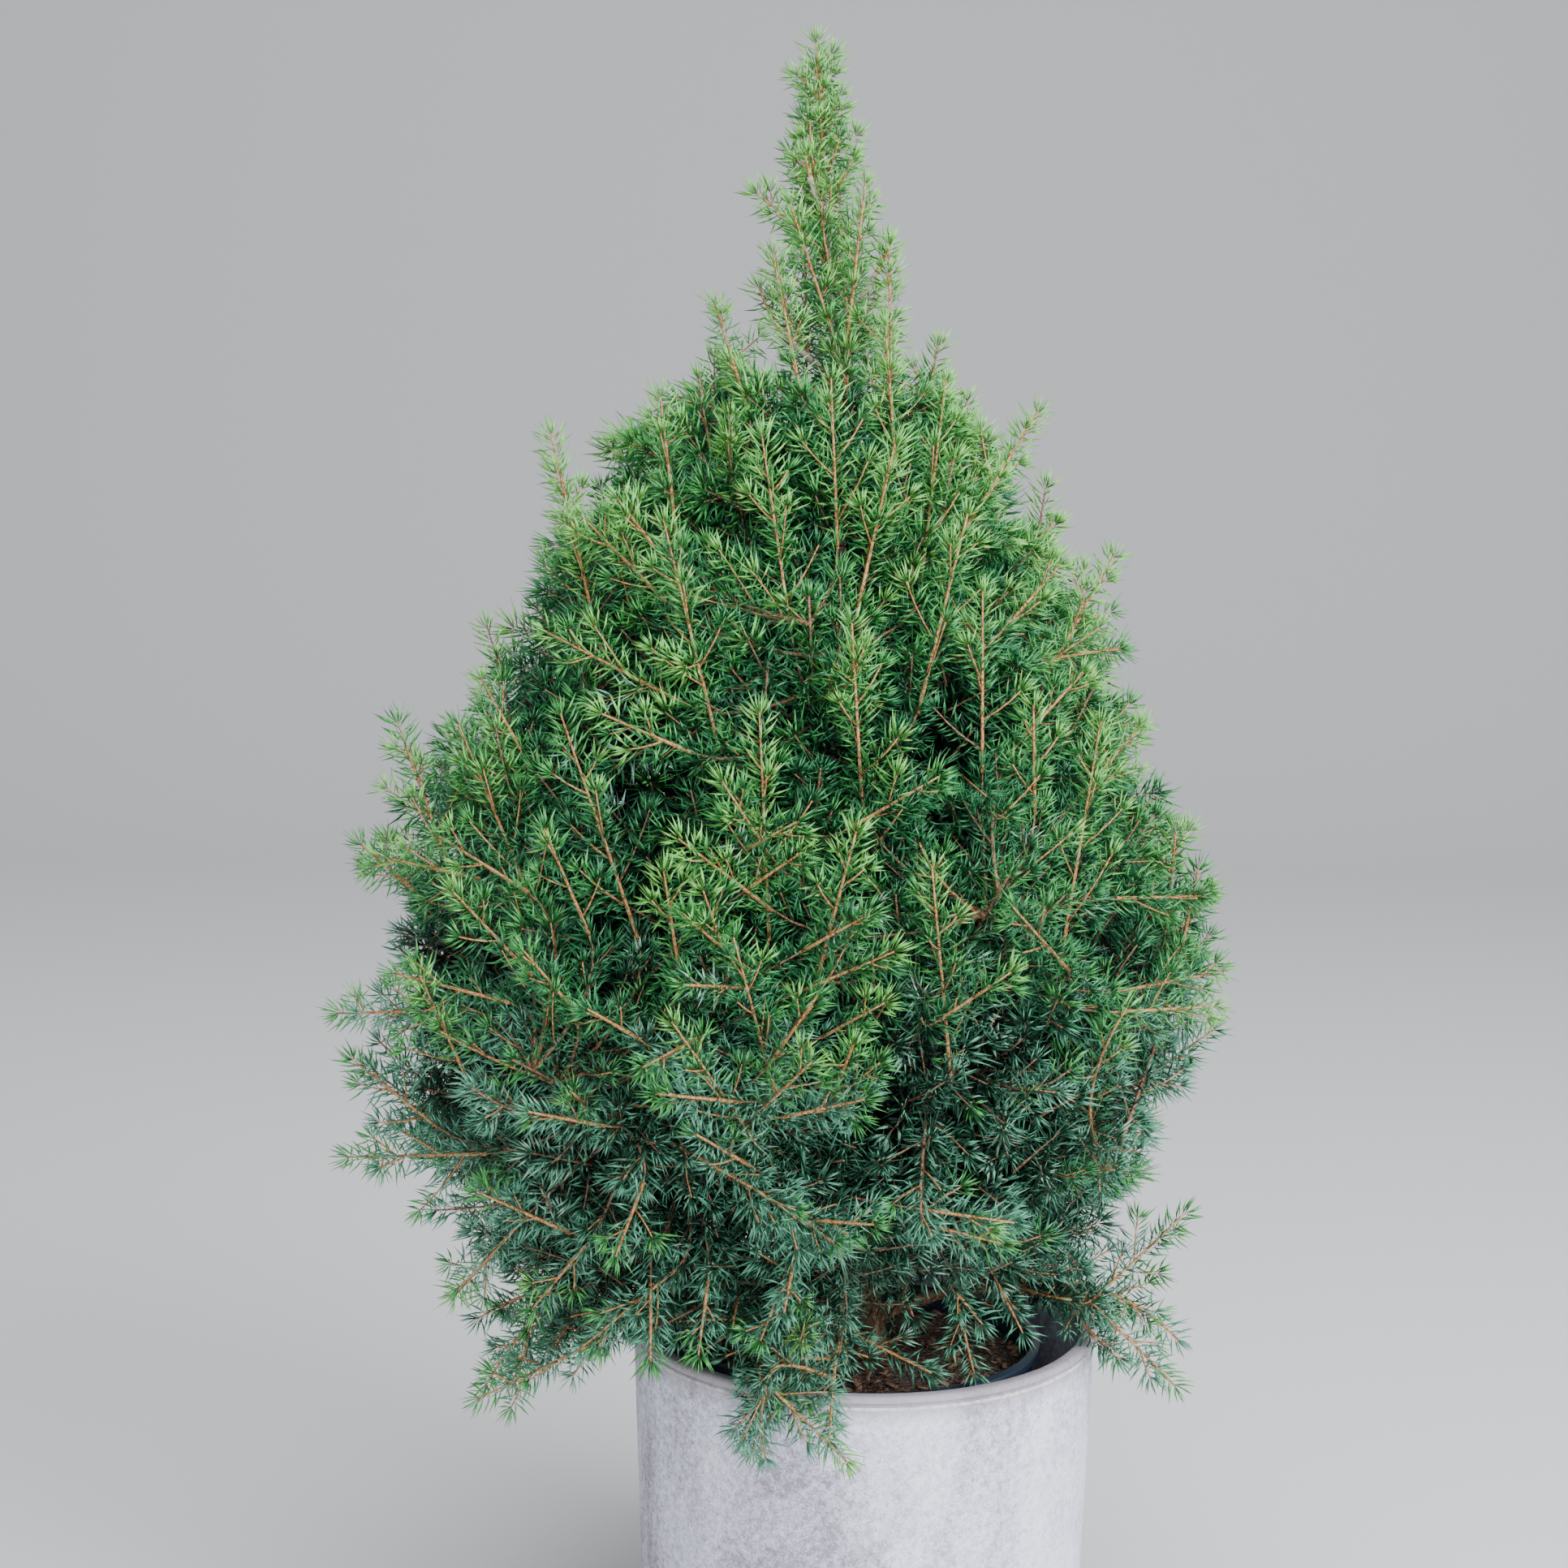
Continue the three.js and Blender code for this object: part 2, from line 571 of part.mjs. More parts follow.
// What is already taken, a little stouter than it is, for later pieces to stay clear of
const trunkClear = solid(trunk(GAP));
const taken = [boxed(trunkClear), boxed(solid(potSpace()))];
for (const bough of boughs) {
  if (bough.short || bough.leader) continue;
  const whole = boughLimb(bough);
  place(spruce, `bough_${bough.name}`, shapeOf(traded(whole, whole.subtract(trunkClear))), finish(COLOURS.bark, 0.85));
  taken.push(boxed(boughLimb(bough, GAP)));
}
const bodies = boughs.map((bough) => {
  let whole = stemAndCore(bough);
  for (const other of near(boxed(whole), taken)) whole = traded(whole, whole.subtract(other.body));
  taken.push({ ...boxed(stemAndCore(bough, GAP)), owner: bough });
  return whole;
});
boughs.forEach((bough, k) => {
  const mass = withSprays(bough, bodies[k], taken);
  place(spruce, `foliage_${bough.name}`, shapeOf(mass), finish(COLOURS.needle, 0.6));
});

export default spruce;
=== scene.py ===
"""A potted dwarf spruce: a clay pot on its saucer, a nursery pot of soil, a trunk and a full crown."""
import logging
import math
from dataclasses import dataclass, field
from enum import Enum

import bpy
import numpy as np
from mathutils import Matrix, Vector


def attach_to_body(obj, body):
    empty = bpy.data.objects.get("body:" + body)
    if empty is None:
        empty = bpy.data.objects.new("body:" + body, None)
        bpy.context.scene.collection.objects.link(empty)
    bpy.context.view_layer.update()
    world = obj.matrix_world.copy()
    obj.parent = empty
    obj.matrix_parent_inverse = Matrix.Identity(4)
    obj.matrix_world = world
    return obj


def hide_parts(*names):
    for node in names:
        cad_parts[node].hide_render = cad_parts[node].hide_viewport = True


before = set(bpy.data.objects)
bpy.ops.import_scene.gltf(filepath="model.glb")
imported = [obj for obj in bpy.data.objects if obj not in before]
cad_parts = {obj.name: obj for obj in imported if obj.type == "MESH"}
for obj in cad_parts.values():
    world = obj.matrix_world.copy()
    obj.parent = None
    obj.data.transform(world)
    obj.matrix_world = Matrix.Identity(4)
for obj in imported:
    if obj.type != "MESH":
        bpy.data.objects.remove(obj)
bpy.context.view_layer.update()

MM = 0.001
BODY = "root"
PIECE_TRIANGLES = 190_000
LOG = logging.getLogger("potted_spruce")
Numbers = float | np.ndarray
# Where the photograph was taken from, in mm
VIEWER = np.array([-50.0, -1460.0, 700.0])
# Each shoot, spray or needle stands this far round from the one before
GOLDEN_ANGLE = 2.39996
# No twig runs quite along this direction, so it gives each one a side
OBLIQUE = np.array([0.31, 0.52, 0.79])
# A needle's faces between its root, its tip and its two shoulders
SLIVER_FACES = np.array([[0, 2, 1], [0, 1, 3], [0, 3, 2], [1, 2, 3]])
# Where a bough's bark ends and its shoot goes on, the radius in mm
LIMB_END_R = 1.8
LIMB_END_SLIGHT_R = 1.4
# The longest shoots that the front shows: tip across, tip height, lean from upright and length,
# in mm and degrees
SEEN_SHOOTS = (
    (-48, 826, -19, 66), (-66, 831, -52, 28), (-57, 800, -12, 78), (-88, 773, -18, 62), (-8, 837, 6, 88),
    (5, 805, -2, 70), (4, 762, -5, 76), (-25, 734, -3, 92), (37, 734, 6, 115), (-117, 723, -7, 76),
    (-176, 703, -13, 120), (-115, 657, -14, 126), (-160, 659, -45, 66), (-140, 668, -38, 42),
    (-62, 703, -9, 108), (10, 699, 12, 90), (50, 662, 13, 112), (87, 717, 31, 82), (101, 635, 40, 52),
    (59, 620, -1, 100), (130, 640, 28, 76), (-180, 596, -63, 90), (-149, 551, -67, 54),
    (-214, 569, -29, 44), (-227, 545, -22, 130), (-260, 545, -19, 90), (-171, 551, -19, 132),
    (-12, 602, -4, 96), (-62, 553, -3, 128), (115, 576, 42, 48), (135, 590, 80, 46), (88, 558, -2, 60),
    (125, 549, 8, 130), (148, 548, 40, 50), (-281, 477, -49, 46), (-274, 471, -78, 60),
    (-238, 482, -58, 58), (-180, 487, -23, 64), (-231, 452, -43, 66), (-106, 482, -53, 66),
    (-82, 514, -33, 48), (-8, 487, 14, 90), (37, 518, 59, 56), (34, 468, -6, 118), (168, 489, 4, 54),
    (181, 468, 10, 44), (186, 453, 88, 50), (-295, 382, -92, 72), (-263, 405, -76, 66),
    (-249, 404, -24, 64), (-75, 427, -15, 96), (14, 420, 66, 54), (-28, 395, 34, 50), (79, 446, -42, 48),
    (197, 411, 78, 60), (193, 391, 86, 58), (-287, 356, -51, 62), (-109, 379, -35, 100), (-1, 336, 77, 48),
    (-290, 300, -92, 78), (-218, 281, -66, 58), (180, 273, 45, 72), (79, 409, 55, 48),
    (-231, 220, -139, 58), (-218, 160, -117, 82), (-187, 213, -141, 48), (-160, 190, -131, 72),
    (-140, 244, -160, 46), (-120, 183, 180, 46), (-93, 187, -173, 44), (177, 172, 135, 62),
    (39, 178, 117, 46), (3, 187, 110, 38), (-27, 192, 177, 38), (63, 178, 166, 42), (28, 211, 161, 32),
    (77, 254, 104, 46), (-62, 130, -169, 48), (-8, 125, 135, 70), (20, 239, 116, 34), (-8, 220, 169, 28),
    (67, 207, 141, 30), (52, 234, 143, 30), (90, 202, 153, 32), (5, 264, 94, 36), (84, 266, 98, 60),
    (-36, 196, 196, 32), (-45, 212, -170, 34), (-58, 196, -160, 34), (-20, 236, 150, 34),
    (-103, 440, -49, 40), (-114, 464, -9, 56), (-92, 453, -19, 36), (-103, 400, -88, 34),
    (-125, 353, -119, 36), (-156, 386, -60, 34), (-191, 418, -40, 40), (9, 391, 60, 40), (-8, 367, 20, 34),
    (7, 357, 50, 36), (0, 441, 60, 44), (-41, 492, 60, 34), (-38, 475, 55, 38), (-31, 357, 45, 36),
    (-189, 327, -80, 44), (-95, 315, -60, 36), (-118, 338, -85, 48),
)


def linear(hex_colour: str) -> tuple[float, float, float, float]:
    """Turns an sRGB hex colour to linear.

    Args:
        hex_colour: six hex digits after a hash sign.

    Returns:
        Linear red, green, blue and an alpha of one.
    """
    parts = [int(hex_colour[k : k + 2], 16) / 255 for k in (1, 3, 5)]
    red, green, blue = (p / 12.92 if p <= 0.04045 else ((p + 0.055) / 1.055) ** 2.4 for p in parts)
    return red, green, blue, 1.0


def add_node(tree: bpy.types.NodeTree, kind: str, settings: dict, inputs: dict) -> bpy.types.Node:
    """Adds a node with its settings and links.

    Args:
        tree: the material's node tree.
        kind: the node's type name.
        settings: settings of the node itself. A colour ramp's stops are pairs of a position and a hex colour.
        inputs: a constant, or an output socket to link from, for each named input.

    Returns:
        The new node.
    """
    node = tree.nodes.new(kind)
    for name, value in settings.items():
        if name != "stops":
            setattr(node, name, value)
            continue
        elements = node.color_ramp.elements
        while len(elements) < len(value):
            elements.new(0.5)
        for element, (position, colour) in zip(elements, value):
            element.position = position
            element.color = linear(colour)
    for name, value in inputs.items():
        if isinstance(value, bpy.types.NodeSocket):
            tree.links.new(value, node.inputs[name])
        else:
            node.inputs[name].default_value = value
    return node


def blank_material(name: str, inputs: dict) -> tuple[bpy.types.Material, bpy.types.NodeTree, bpy.types.Node]:
    """Makes a material whose shader has the given constants.

    Args:
        name: the material's name.
        inputs: constants of the shader's sockets.

    Returns:
        The material, its node tree and its shader.
    """
    material = bpy.data.materials.new(name)
    material.use_nodes = True
    tree = material.node_tree
    shader = tree.nodes["Principled BSDF"]
    for socket, value in inputs.items():
        shader.inputs[socket].default_value = value
    return material, tree, shader


@dataclass(frozen=True)
class LimewashedClay:
    """Unglazed terracotta, thrown and fired, with a dull pale bloom of lime in soft clouds and fine grit."""

    name: str = "limewashed_clay"
    dark: str = "#958c99"
    middle: str = "#bab6c8"
    bloom: str = "#dddbee"
    chalk: str = "#f4f3ff"
    # Painted shade: the dull grey of the rim band in the foliage's shadow
    rim_shade: str = "#9b9295"
    lime: str = "#ebe9ee"
    cloud_mm: float = 70
    cloud_drawn: float = 0.5
    mottle_mm: float = 4
    mottle_share: float = 0.42
    grit_mm: float = 1.1
    grit_share: float = 0.27
    # Painted light: how far the clay's ramp is shifted paler per metre towards +x
    side_light_shift: float = 0.25
    # Painted shade over the rim band: the heights where it starts and where it is full, in mm, and how much
    # it covers
    rim_shade_from_mm: float = 194
    rim_shade_to_mm: float = 206.4
    rim_shade_share: float = 0.8
    lime_at_mm: float = 204.2
    lime_half_mm: float = 0.6

    def build(self) -> bpy.types.Material:
        """Builds the material: clouds of bloom over mottled clay, with a gritty bump.

        Returns:
            The material.
        """
        # Open, fired clay gives the eye soft clouds, a fine grain and no highlight
        material, tree, shader = blank_material(self.name, {"Roughness": 0.88, "Specular IOR Level": 0.3})
        place = add_node(tree, "ShaderNodeTexCoord", {}, {}).outputs["Object"]
        parted = add_node(tree, "ShaderNodeSeparateXYZ", {}, {"Vector": place})
        # Rain and wiping draw the clouds out upwards
        drawn = add_node(tree, "ShaderNodeMapping", {}, {"Vector": place, "Scale": (1, 1, self.cloud_drawn)})
        cloud = add_node(tree, "ShaderNodeTexNoise", {}, {
            "Vector": drawn.outputs["Vector"], "Scale": 1 / (self.cloud_mm * MM),
            "Detail": 5.0, "Roughness": 0.62, "Distortion": 0.5})
        mottle = add_node(tree, "ShaderNodeTexNoise", {}, {
            "Vector": place, "Scale": 1 / (self.mottle_mm * MM), "Detail": 4.0, "Roughness": 0.7})
        grit = add_node(tree, "ShaderNodeTexNoise", {}, {
            "Vector": place, "Scale": 1 / (self.grit_mm * MM), "Detail": 2.0, "Roughness": 0.8})
        both = add_node(tree, "ShaderNodeMix", {"data_type": "FLOAT"}, {
            0: self.mottle_share, 2: cloud.outputs["Fac"], 3: mottle.outputs["Fac"]})
        speckled = add_node(tree, "ShaderNodeMix", {"data_type": "FLOAT"}, {
            0: self.grit_share, 2: both.outputs[0], 3: grit.outputs["Fac"]})
        # Painted light and shade: the ramp is shifted paler towards +x, so the right side, where the light
        # falls, comes out lighter and the left darker
        side_lit = add_node(tree, "ShaderNodeMath", {"operation": "MULTIPLY_ADD"}, {
            0: parted.outputs["X"], 1: self.side_light_shift, 2: speckled.outputs[0]})
        stops = [(0.41, self.dark), (0.47, self.middle), (0.53, self.bloom), (0.59, self.chalk)]
        clouded = add_node(tree, "ShaderNodeValToRGB", {"stops": stops}, {"Fac": side_lit.outputs[0]})
        # Painted shade: the rim band is darkened towards a dull grey, standing in for the foliage's shadow on
        # it
        band = add_node(tree, "ShaderNodeMapRange", {}, {
            "Value": parted.outputs["Z"], "From Min": self.rim_shade_from_mm * MM,
            "From Max": self.rim_shade_to_mm * MM, "To Min": 0.0, "To Max": self.rim_shade_share})
        rim_shaded = add_node(tree, "ShaderNodeMix", {"data_type": "RGBA"}, {
            0: band.outputs["Result"], 6: clouded.outputs["Color"], 7: linear(self.rim_shade)})
        # Lime has dried as a broken pale line along the groove
        line = add_node(tree, "ShaderNodeMath", {"operation": "COMPARE"}, {
            0: parted.outputs["Z"], 1: self.lime_at_mm * MM, 2: self.lime_half_mm * MM})
        broken = add_node(tree, "ShaderNodeMapRange", {}, {
            "Value": mottle.outputs["Fac"], "From Min": 0.3, "From Max": 0.62})
        lime = add_node(tree, "ShaderNodeMath", {"operation": "MULTIPLY"}, {
            0: line.outputs[0], 1: broken.outputs["Result"]})
        limed = add_node(tree, "ShaderNodeMix", {"data_type": "RGBA"}, {
            0: lime.outputs[0], 6: rim_shaded.outputs[2], 7: linear(self.lime)})
        tree.links.new(limed.outputs[2], shader.inputs["Base Color"])
        grain = add_node(tree, "ShaderNodeBump", {}, {
            "Strength": 0.35, "Distance": 0.4 * MM, "Height": grit.outputs["Fac"]})
        dents = add_node(tree, "ShaderNodeBump", {}, {
            "Strength": 0.25, "Distance": 1.2 * MM, "Height": mottle.outputs["Fac"],
            "Normal": grain.outputs["Normal"]})
        tree.links.new(dents.outputs["Normal"], shader.inputs["Normal"])
        return material


@dataclass(frozen=True)
class MouldedPlastic:
    """Black polypropylene, thin and moulded, with a satin skin that shows soft scuffs."""

    name: str = "black_polypropylene"
    colour: str = "#273242"
    scuff_mm: float = 9
    polished: float = 0.26
    scuffed: float = 0.5

    def build(self) -> bpy.types.Material:
        """Builds the material: a blue-black body with a roughness that varies in scuffs.

        Returns:
            The material.
        """
        # Moulded plastic gives the eye a dark satin sheen that scuffs break up
        material, tree, shader = blank_material(self.name, {"Base Color": linear(self.colour)})
        place = add_node(tree, "ShaderNodeTexCoord", {}, {}).outputs["Object"]
        scuff = add_node(tree, "ShaderNodeTexNoise", {}, {
            "Vector": place, "Scale": 1 / (self.scuff_mm * MM), "Detail": 4.0})
        rough = add_node(tree, "ShaderNodeMapRange", {}, {
            "Value": scuff.outputs["Fac"], "To Min": self.polished, "To Max": self.scuffed})
        tree.links.new(rough.outputs["Result"], shader.inputs["Roughness"])
        return material


@dataclass(frozen=True)
class PeatSoil:
    """Moist potting peat with bark crumbs: dull, very dark brown, with lighter fibres."""

    name: str = "peat_soil"
    browns: tuple = ((0.35, "#2e2725"), (0.5, "#4f4541"), (0.62, "#786a62"), (0.74, "#a6988f"))
    crumb_mm: float = 4
    fibre_mm: float = 1.5

    def build(self) -> bpy.types.Material:
        """Builds the material: crumbs in four browns over a rough bump.

        Returns:
            The material.
        """
        # Loose peat gives the eye dark crumbs with paler fibres and no shine
        material, tree, shader = blank_material(self.name, {"Roughness": 0.95, "Specular IOR Level": 0.25})
        place = add_node(tree, "ShaderNodeTexCoord", {}, {}).outputs["Object"]
        crumb = add_node(tree, "ShaderNodeTexVoronoi", {}, {
            "Vector": place, "Scale": 1 / (self.crumb_mm * MM)})
        fibre = add_node(tree, "ShaderNodeTexNoise", {}, {
            "Vector": place, "Scale": 1 / (self.fibre_mm * MM), "Detail": 3.0})
        brown = add_node(tree, "ShaderNodeValToRGB", {"stops": self.browns}, {"Fac": fibre.outputs["Fac"]})
        tree.links.new(brown.outputs["Color"], shader.inputs["Base Color"])
        bump = add_node(tree, "ShaderNodeBump", {}, {
            "Strength": 0.8, "Distance": 1.5 * MM, "Height": crumb.outputs["Distance"]})
        tree.links.new(bump.outputs["Normal"], shader.inputs["Normal"])
        return material


@dataclass(frozen=True)
class SpruceBark:
    """Spruce bark: flaky red-brown low down and inside, ash-grey and smoother on the upper trunk."""

    name: str = "spruce_bark"
    low_browns: tuple = ((0.34, "#3a281e"), (0.5, "#6d4d39"), (0.62, "#93705a"), (0.72, "#b39a88"))
    high_greys: tuple = ((0.3, "#8f7a68"), (0.5, "#c4b5a8"), (0.65, "#e2d8cf"))
    flake_mm: float = 5
    crack_mm: float = 1.6
    drawn: float = 0.45
    pale_from_mm: float = 600
    pale_to_mm: float = 730

    def build(self) -> bpy.types.Material:
        """Builds the material: flakes in browns that pale towards the upper trunk.

        Returns:
            The material.
        """
        # Flaking bark gives the eye a dull, cracked skin, drawn out along the limb
        material, tree, shader = blank_material(self.name, {"Roughness": 0.9, "Specular IOR Level": 0.3})
        place = add_node(tree, "ShaderNodeTexCoord", {}, {}).outputs["Object"]
        drawn = add_node(tree, "ShaderNodeMapping", {}, {"Vector": place, "Scale": (1, 1, self.drawn)})
        flake = add_node(tree, "ShaderNodeTexVoronoi", {}, {
            "Vector": drawn.outputs["Vector"], "Scale": 1 / (self.flake_mm * MM)})
        crack = add_node(tree, "ShaderNodeTexNoise", {}, {
            "Vector": drawn.outputs["Vector"], "Scale": 1 / (self.crack_mm * MM), "Detail": 4.0,
            "Roughness": 0.7})
        low = add_node(tree, "ShaderNodeValToRGB", {"stops": self.low_browns}, {"Fac": crack.outputs["Fac"]})
        high = add_node(tree, "ShaderNodeValToRGB", {"stops": self.high_greys}, {"Fac": crack.outputs["Fac"]})
        height = add_node(tree, "ShaderNodeSeparateXYZ", {}, {"Vector": place}).outputs["Z"]
        share = add_node(tree, "ShaderNodeMapRange", {}, {
            "Value": height, "From Min": self.pale_from_mm * MM, "From Max": self.pale_to_mm * MM})
        both = add_node(tree, "ShaderNodeMix", {"data_type": "RGBA"}, {
            0: share.outputs["Result"], 6: low.outputs["Color"], 7: high.outputs["Color"]})
        tree.links.new(both.outputs[2], shader.inputs["Base Color"])
        bump = add_node(tree, "ShaderNodeBump", {}, {
            "Strength": 0.7, "Distance": 0.8 * MM, "Height": flake.outputs["Distance"]})
        tree.links.new(bump.outputs["Normal"], shader.inputs["Normal"])
        return material


@dataclass(frozen=True)
class PlainSkin:
    """A plant's thin skin in one plain colour, with a waxy or dry gloss."""

    name: str
    colour: str
    roughness: float
    specular: float

    def build(self) -> bpy.types.Material:
        """Builds the material: one base colour, as tints are dealt out by spray."""
        # A waxy skin gives the eye a thin bright edge where the light grazes it
        return blank_material(self.name, {
            "Base Color": linear(self.colour), "Roughness": self.roughness,
            "Specular IOR Level": self.specular})[0]


@dataclass(frozen=True)
class TwigSkin:
    """The skin of spruce twigs: knobbly with the pegs that needles grow on, with painted shade between them
    and a painted highlight on their tops, over some real darker spots.
    """

    name: str
    dark: str
    middle: str
    pale: str
    peg_mm: float = 1.5

    def build(self) -> bpy.types.Material:
        """Builds the material: three browns over a knobbly bump.

        Returns:
            The material.
        """
        # Thin dry bark gives the eye warm browns; the browns follow the pegs' bump, so the hollows carry
        # painted shade and the tops a painted highlight
        material, tree, shader = blank_material(self.name, {"Roughness": 0.6, "Specular IOR Level": 0.4})
        place = add_node(tree, "ShaderNodeTexCoord", {}, {}).outputs["Object"]
        pegs = add_node(tree, "ShaderNodeTexNoise", {}, {
            "Vector": place, "Scale": 1 / (self.peg_mm * MM), "Detail": 2.0, "Roughness": 0.6})
        # The dark stop is painted shade mixed with the bark's real darker spots, the pale stop a painted
        # highlight
        stops = [(0.36, self.dark), (0.48, self.middle), (0.64, self.pale)]
        brown = add_node(tree, "ShaderNodeValToRGB", {"stops": stops}, {"Fac": pegs.outputs["Fac"]})
        tree.links.new(brown.outputs["Color"], shader.inputs["Base Color"])
        bump = add_node(tree, "ShaderNodeBump", {}, {
            "Strength": 0.8, "Distance": 0.5 * MM, "Height": pegs.outputs["Fac"]})
        tree.links.new(bump.outputs["Normal"], shader.inputs["Normal"])
        return material


@dataclass(frozen=True)
class PaleFloor:
    """A matt painted studio floor and sweep."""

    name: str = "pale_floor"
    colour: str = "#d9d9d8"

    def build(self) -> bpy.types.Material:
        """Builds the material: one pale matt grey, which gives the eye soft shadows only."""
        return blank_material(self.name, {"Base Color": linear(self.colour), "Roughness": 0.9})[0]


class Tint(Enum):
    """The needles' tints, from the darkest, painted shade deep inside the crown, out to the palest, painted
    light high up and at this year's tips, which are also fresh growth.
    """

    SHADE = PlainSkin("needle_shade", "#0e261a", 0.5, 0.4)
    DEEP = PlainSkin("needle_deep", "#22563e", 0.38, 0.65)
    BLUE = PlainSkin("needle_blue", "#589a7b", 0.36, 0.7)
    BLOOM = PlainSkin("needle_bloom", "#88c0a2", 0.4, 0.7)
    LEAF = PlainSkin("needle_leaf", "#2b7a48", 0.36, 0.7)
    FRESH = PlainSkin("needle_fresh", "#469c4b", 0.36, 0.7)
    BRIGHT = PlainSkin("needle_bright", "#7ac35c", 0.36, 0.65)


class Litter(Enum):
    """What lies on the soil: old needles and chips of bark."""

    NEEDLE = PlainSkin("fallen_needle", "#84604a", 0.8, 0.25)
    CHIP = PlainSkin("bark_chip", "#8a6e5a", 0.9, 0.2)


class TwigAge(Enum):
    """The twigs' skins: young tan shoots and old brown wood."""

    YOUNG = TwigSkin("twig_young", "#7f5230", "#b6804b", "#d3a474")
    OLD = TwigSkin("twig_old", "#4f3626", "#7d5a42", "#a07c62")


def deselect_all() -> None:
    """Leaves edit mode and clears the selection."""
    if bpy.context.object and bpy.context.object.mode != "OBJECT":
        bpy.ops.object.mode_set(mode="OBJECT")
    bpy.ops.object.select_all(action="DESELECT")


def turned(name: str, rings: list[tuple[float, float]], sides: int) -> bpy.types.Object:
    """Draws a round closed solid out of a disc, one ring after another.

    Args:
        name: the piece's name.
        rings: radius and height of each ring in mm, from the first flat end to the last.
        sides: faces round each ring.

    Returns:
        The solid.
    """
    deselect_all()
    radius, height = rings[0]
    bpy.ops.mesh.primitive_circle_add(
        vertices=sides, radius=radius * MM, fill_type="NGON", location=(0, 0, height * MM))
    piece = bpy.context.object
    piece.name = name
    bpy.ops.object.transform_apply(location=True, rotation=False, scale=False)
    bpy.ops.object.mode_set(mode="EDIT")
    bpy.ops.mesh.select_all(action="SELECT")
    for next_radius, next_height in rings[1:]:
        rise = (0, 0, (next_height - height) * MM)
        bpy.ops.mesh.extrude_region_move(TRANSFORM_OT_translate={"value": rise})
        grow = next_radius / radius
        bpy.ops.transform.resize(value=(grow, grow, 1), center_override=(0, 0, next_height * MM))
        radius, height = next_radius, next_height
    bpy.ops.mesh.select_all(action="SELECT")
    bpy.ops.mesh.normals_make_consistent(inside=False)
    bpy.ops.object.mode_set(mode="OBJECT")
    return piece


def arc(radius: float, height: float, across: float, up: float, degrees: tuple) -> list[tuple[float, float]]:
    """Rings that round an edge off.

    Args:
        radius: the rounding's centre, from the axis.
        height: its height.
        across: how far the rounding reaches outwards from its centre, or inwards where it is negative.
        up: how far it reaches up.
        degrees: each ring's angle above level.

    Returns:
        Radius and height of each ring.
    """
    angles = [math.radians(d) for d in degrees]
    return [(radius + across * math.cos(a), height + up * math.sin(a)) for a in angles]


def add_relief(piece: bpy.types.Object, size_mm: float, depth_mm: float) -> None:
    """Gives a piece a shallow relief in its mesh, even all over.

    Args:
        piece: the piece, with enough faces.
        size_mm: the size of a bump.
        depth_mm: how far the bumps reach from lowest to highest.
    """
    pattern = bpy.data.textures.new(f"{piece.name}_relief", "CLOUDS")
    pattern.noise_scale = size_mm * MM
    modifier = piece.modifiers.new("relief", "DISPLACE")
    modifier.texture = pattern
    modifier.texture_coords = "LOCAL"
    modifier.strength = depth_mm * MM
    modifier.mid_level = 0.5
    bpy.context.view_layer.objects.active = piece
    bpy.ops.object.modifier_apply(modifier="relief")


def smooth(piece: bpy.types.Object, angle: float) -> None:
    """Smooths a piece's shading over its blunt edges.

    Args:
        piece: the piece.
        angle: edges that turn by less than this many degrees are smoothed.
    """
    deselect_all()
    piece.select_set(True)
    bpy.context.view_layer.objects.active = piece
    bpy.ops.object.shade_smooth_by_angle(angle=math.radians(angle))


def joined_mesh(name: str, points: np.ndarray, triangles: np.ndarray) -> bpy.types.Object:
    """Makes one mesh of many small things from arrays.

    Args:
        name: the piece's name.
        points: corner places in metres, one row each.
        triangles: three corner numbers a row.

    Returns:
        The mesh's object, at the origin.
    """
    mesh = bpy.data.meshes.new(name)
    mesh.vertices.add(len(points))
    mesh.vertices.foreach_set("co", points.astype(np.float32).ravel())
    mesh.loops.add(triangles.size)
    mesh.loops.foreach_set("vertex_index", triangles.astype(np.int32).ravel())
    mesh.polygons.add(len(triangles))
    mesh.polygons.foreach_set("loop_start", np.arange(0, triangles.size, 3, dtype=np.int32))
    mesh.update(calc_edges=True)
    piece = bpy.data.objects.new(name, mesh)
    bpy.context.scene.collection.objects.link(piece)
    return piece


def clad(piece: bpy.types.Object, material: bpy.types.Material, slot: str, *nodes: str) -> None:
    """Gives a piece its material and the CAD nodes that it stands for, and reports it.

    Args:
        piece: the finished piece.
        material: its finish.
        slot: not used.
        nodes: CAD nodes that the piece replaces.
    """
    piece.data.materials.clear()
    piece.data.materials.append(material)
    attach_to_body(piece, BODY)
    if nodes:
        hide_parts(*nodes)
    LOG.info("%s: %d faces", piece.name, len(piece.data.polygons))


def unit(vectors: np.ndarray) -> np.ndarray:
    """Vectors brought to length one along the last axis."""
    return vectors / np.maximum(np.linalg.norm(vectors, axis=-1, keepdims=True), 1e-9)


def lerp(start: Numbers, end: Numbers, share: Numbers) -> Numbers:
    """A value between two others at a share of the way."""
    return start + (end - start) * share


def leaning(angle: Numbers, azimuth: Numbers) -> np.ndarray:
    """Directions that lean from vertical by an angle, towards an azimuth."""
    out = np.sin(angle)
    return np.stack([out * np.cos(azimuth), out * np.sin(azimuth), np.cos(angle)], axis=-1)


def level(azimuth: np.ndarray) -> np.ndarray:
    """Level directions towards azimuths."""
    return np.stack([np.cos(azimuth), np.sin(azimuth), np.zeros_like(azimuth)], axis=1)


def around(ways: np.ndarray, aside: np.ndarray, turn: np.ndarray) -> np.ndarray:
    """Directions square to ways, at a turn round each from the direction aside."""
    return aside * np.cos(turn)[:, None] + np.cross(ways, aside) * np.sin(turn)[:, None]


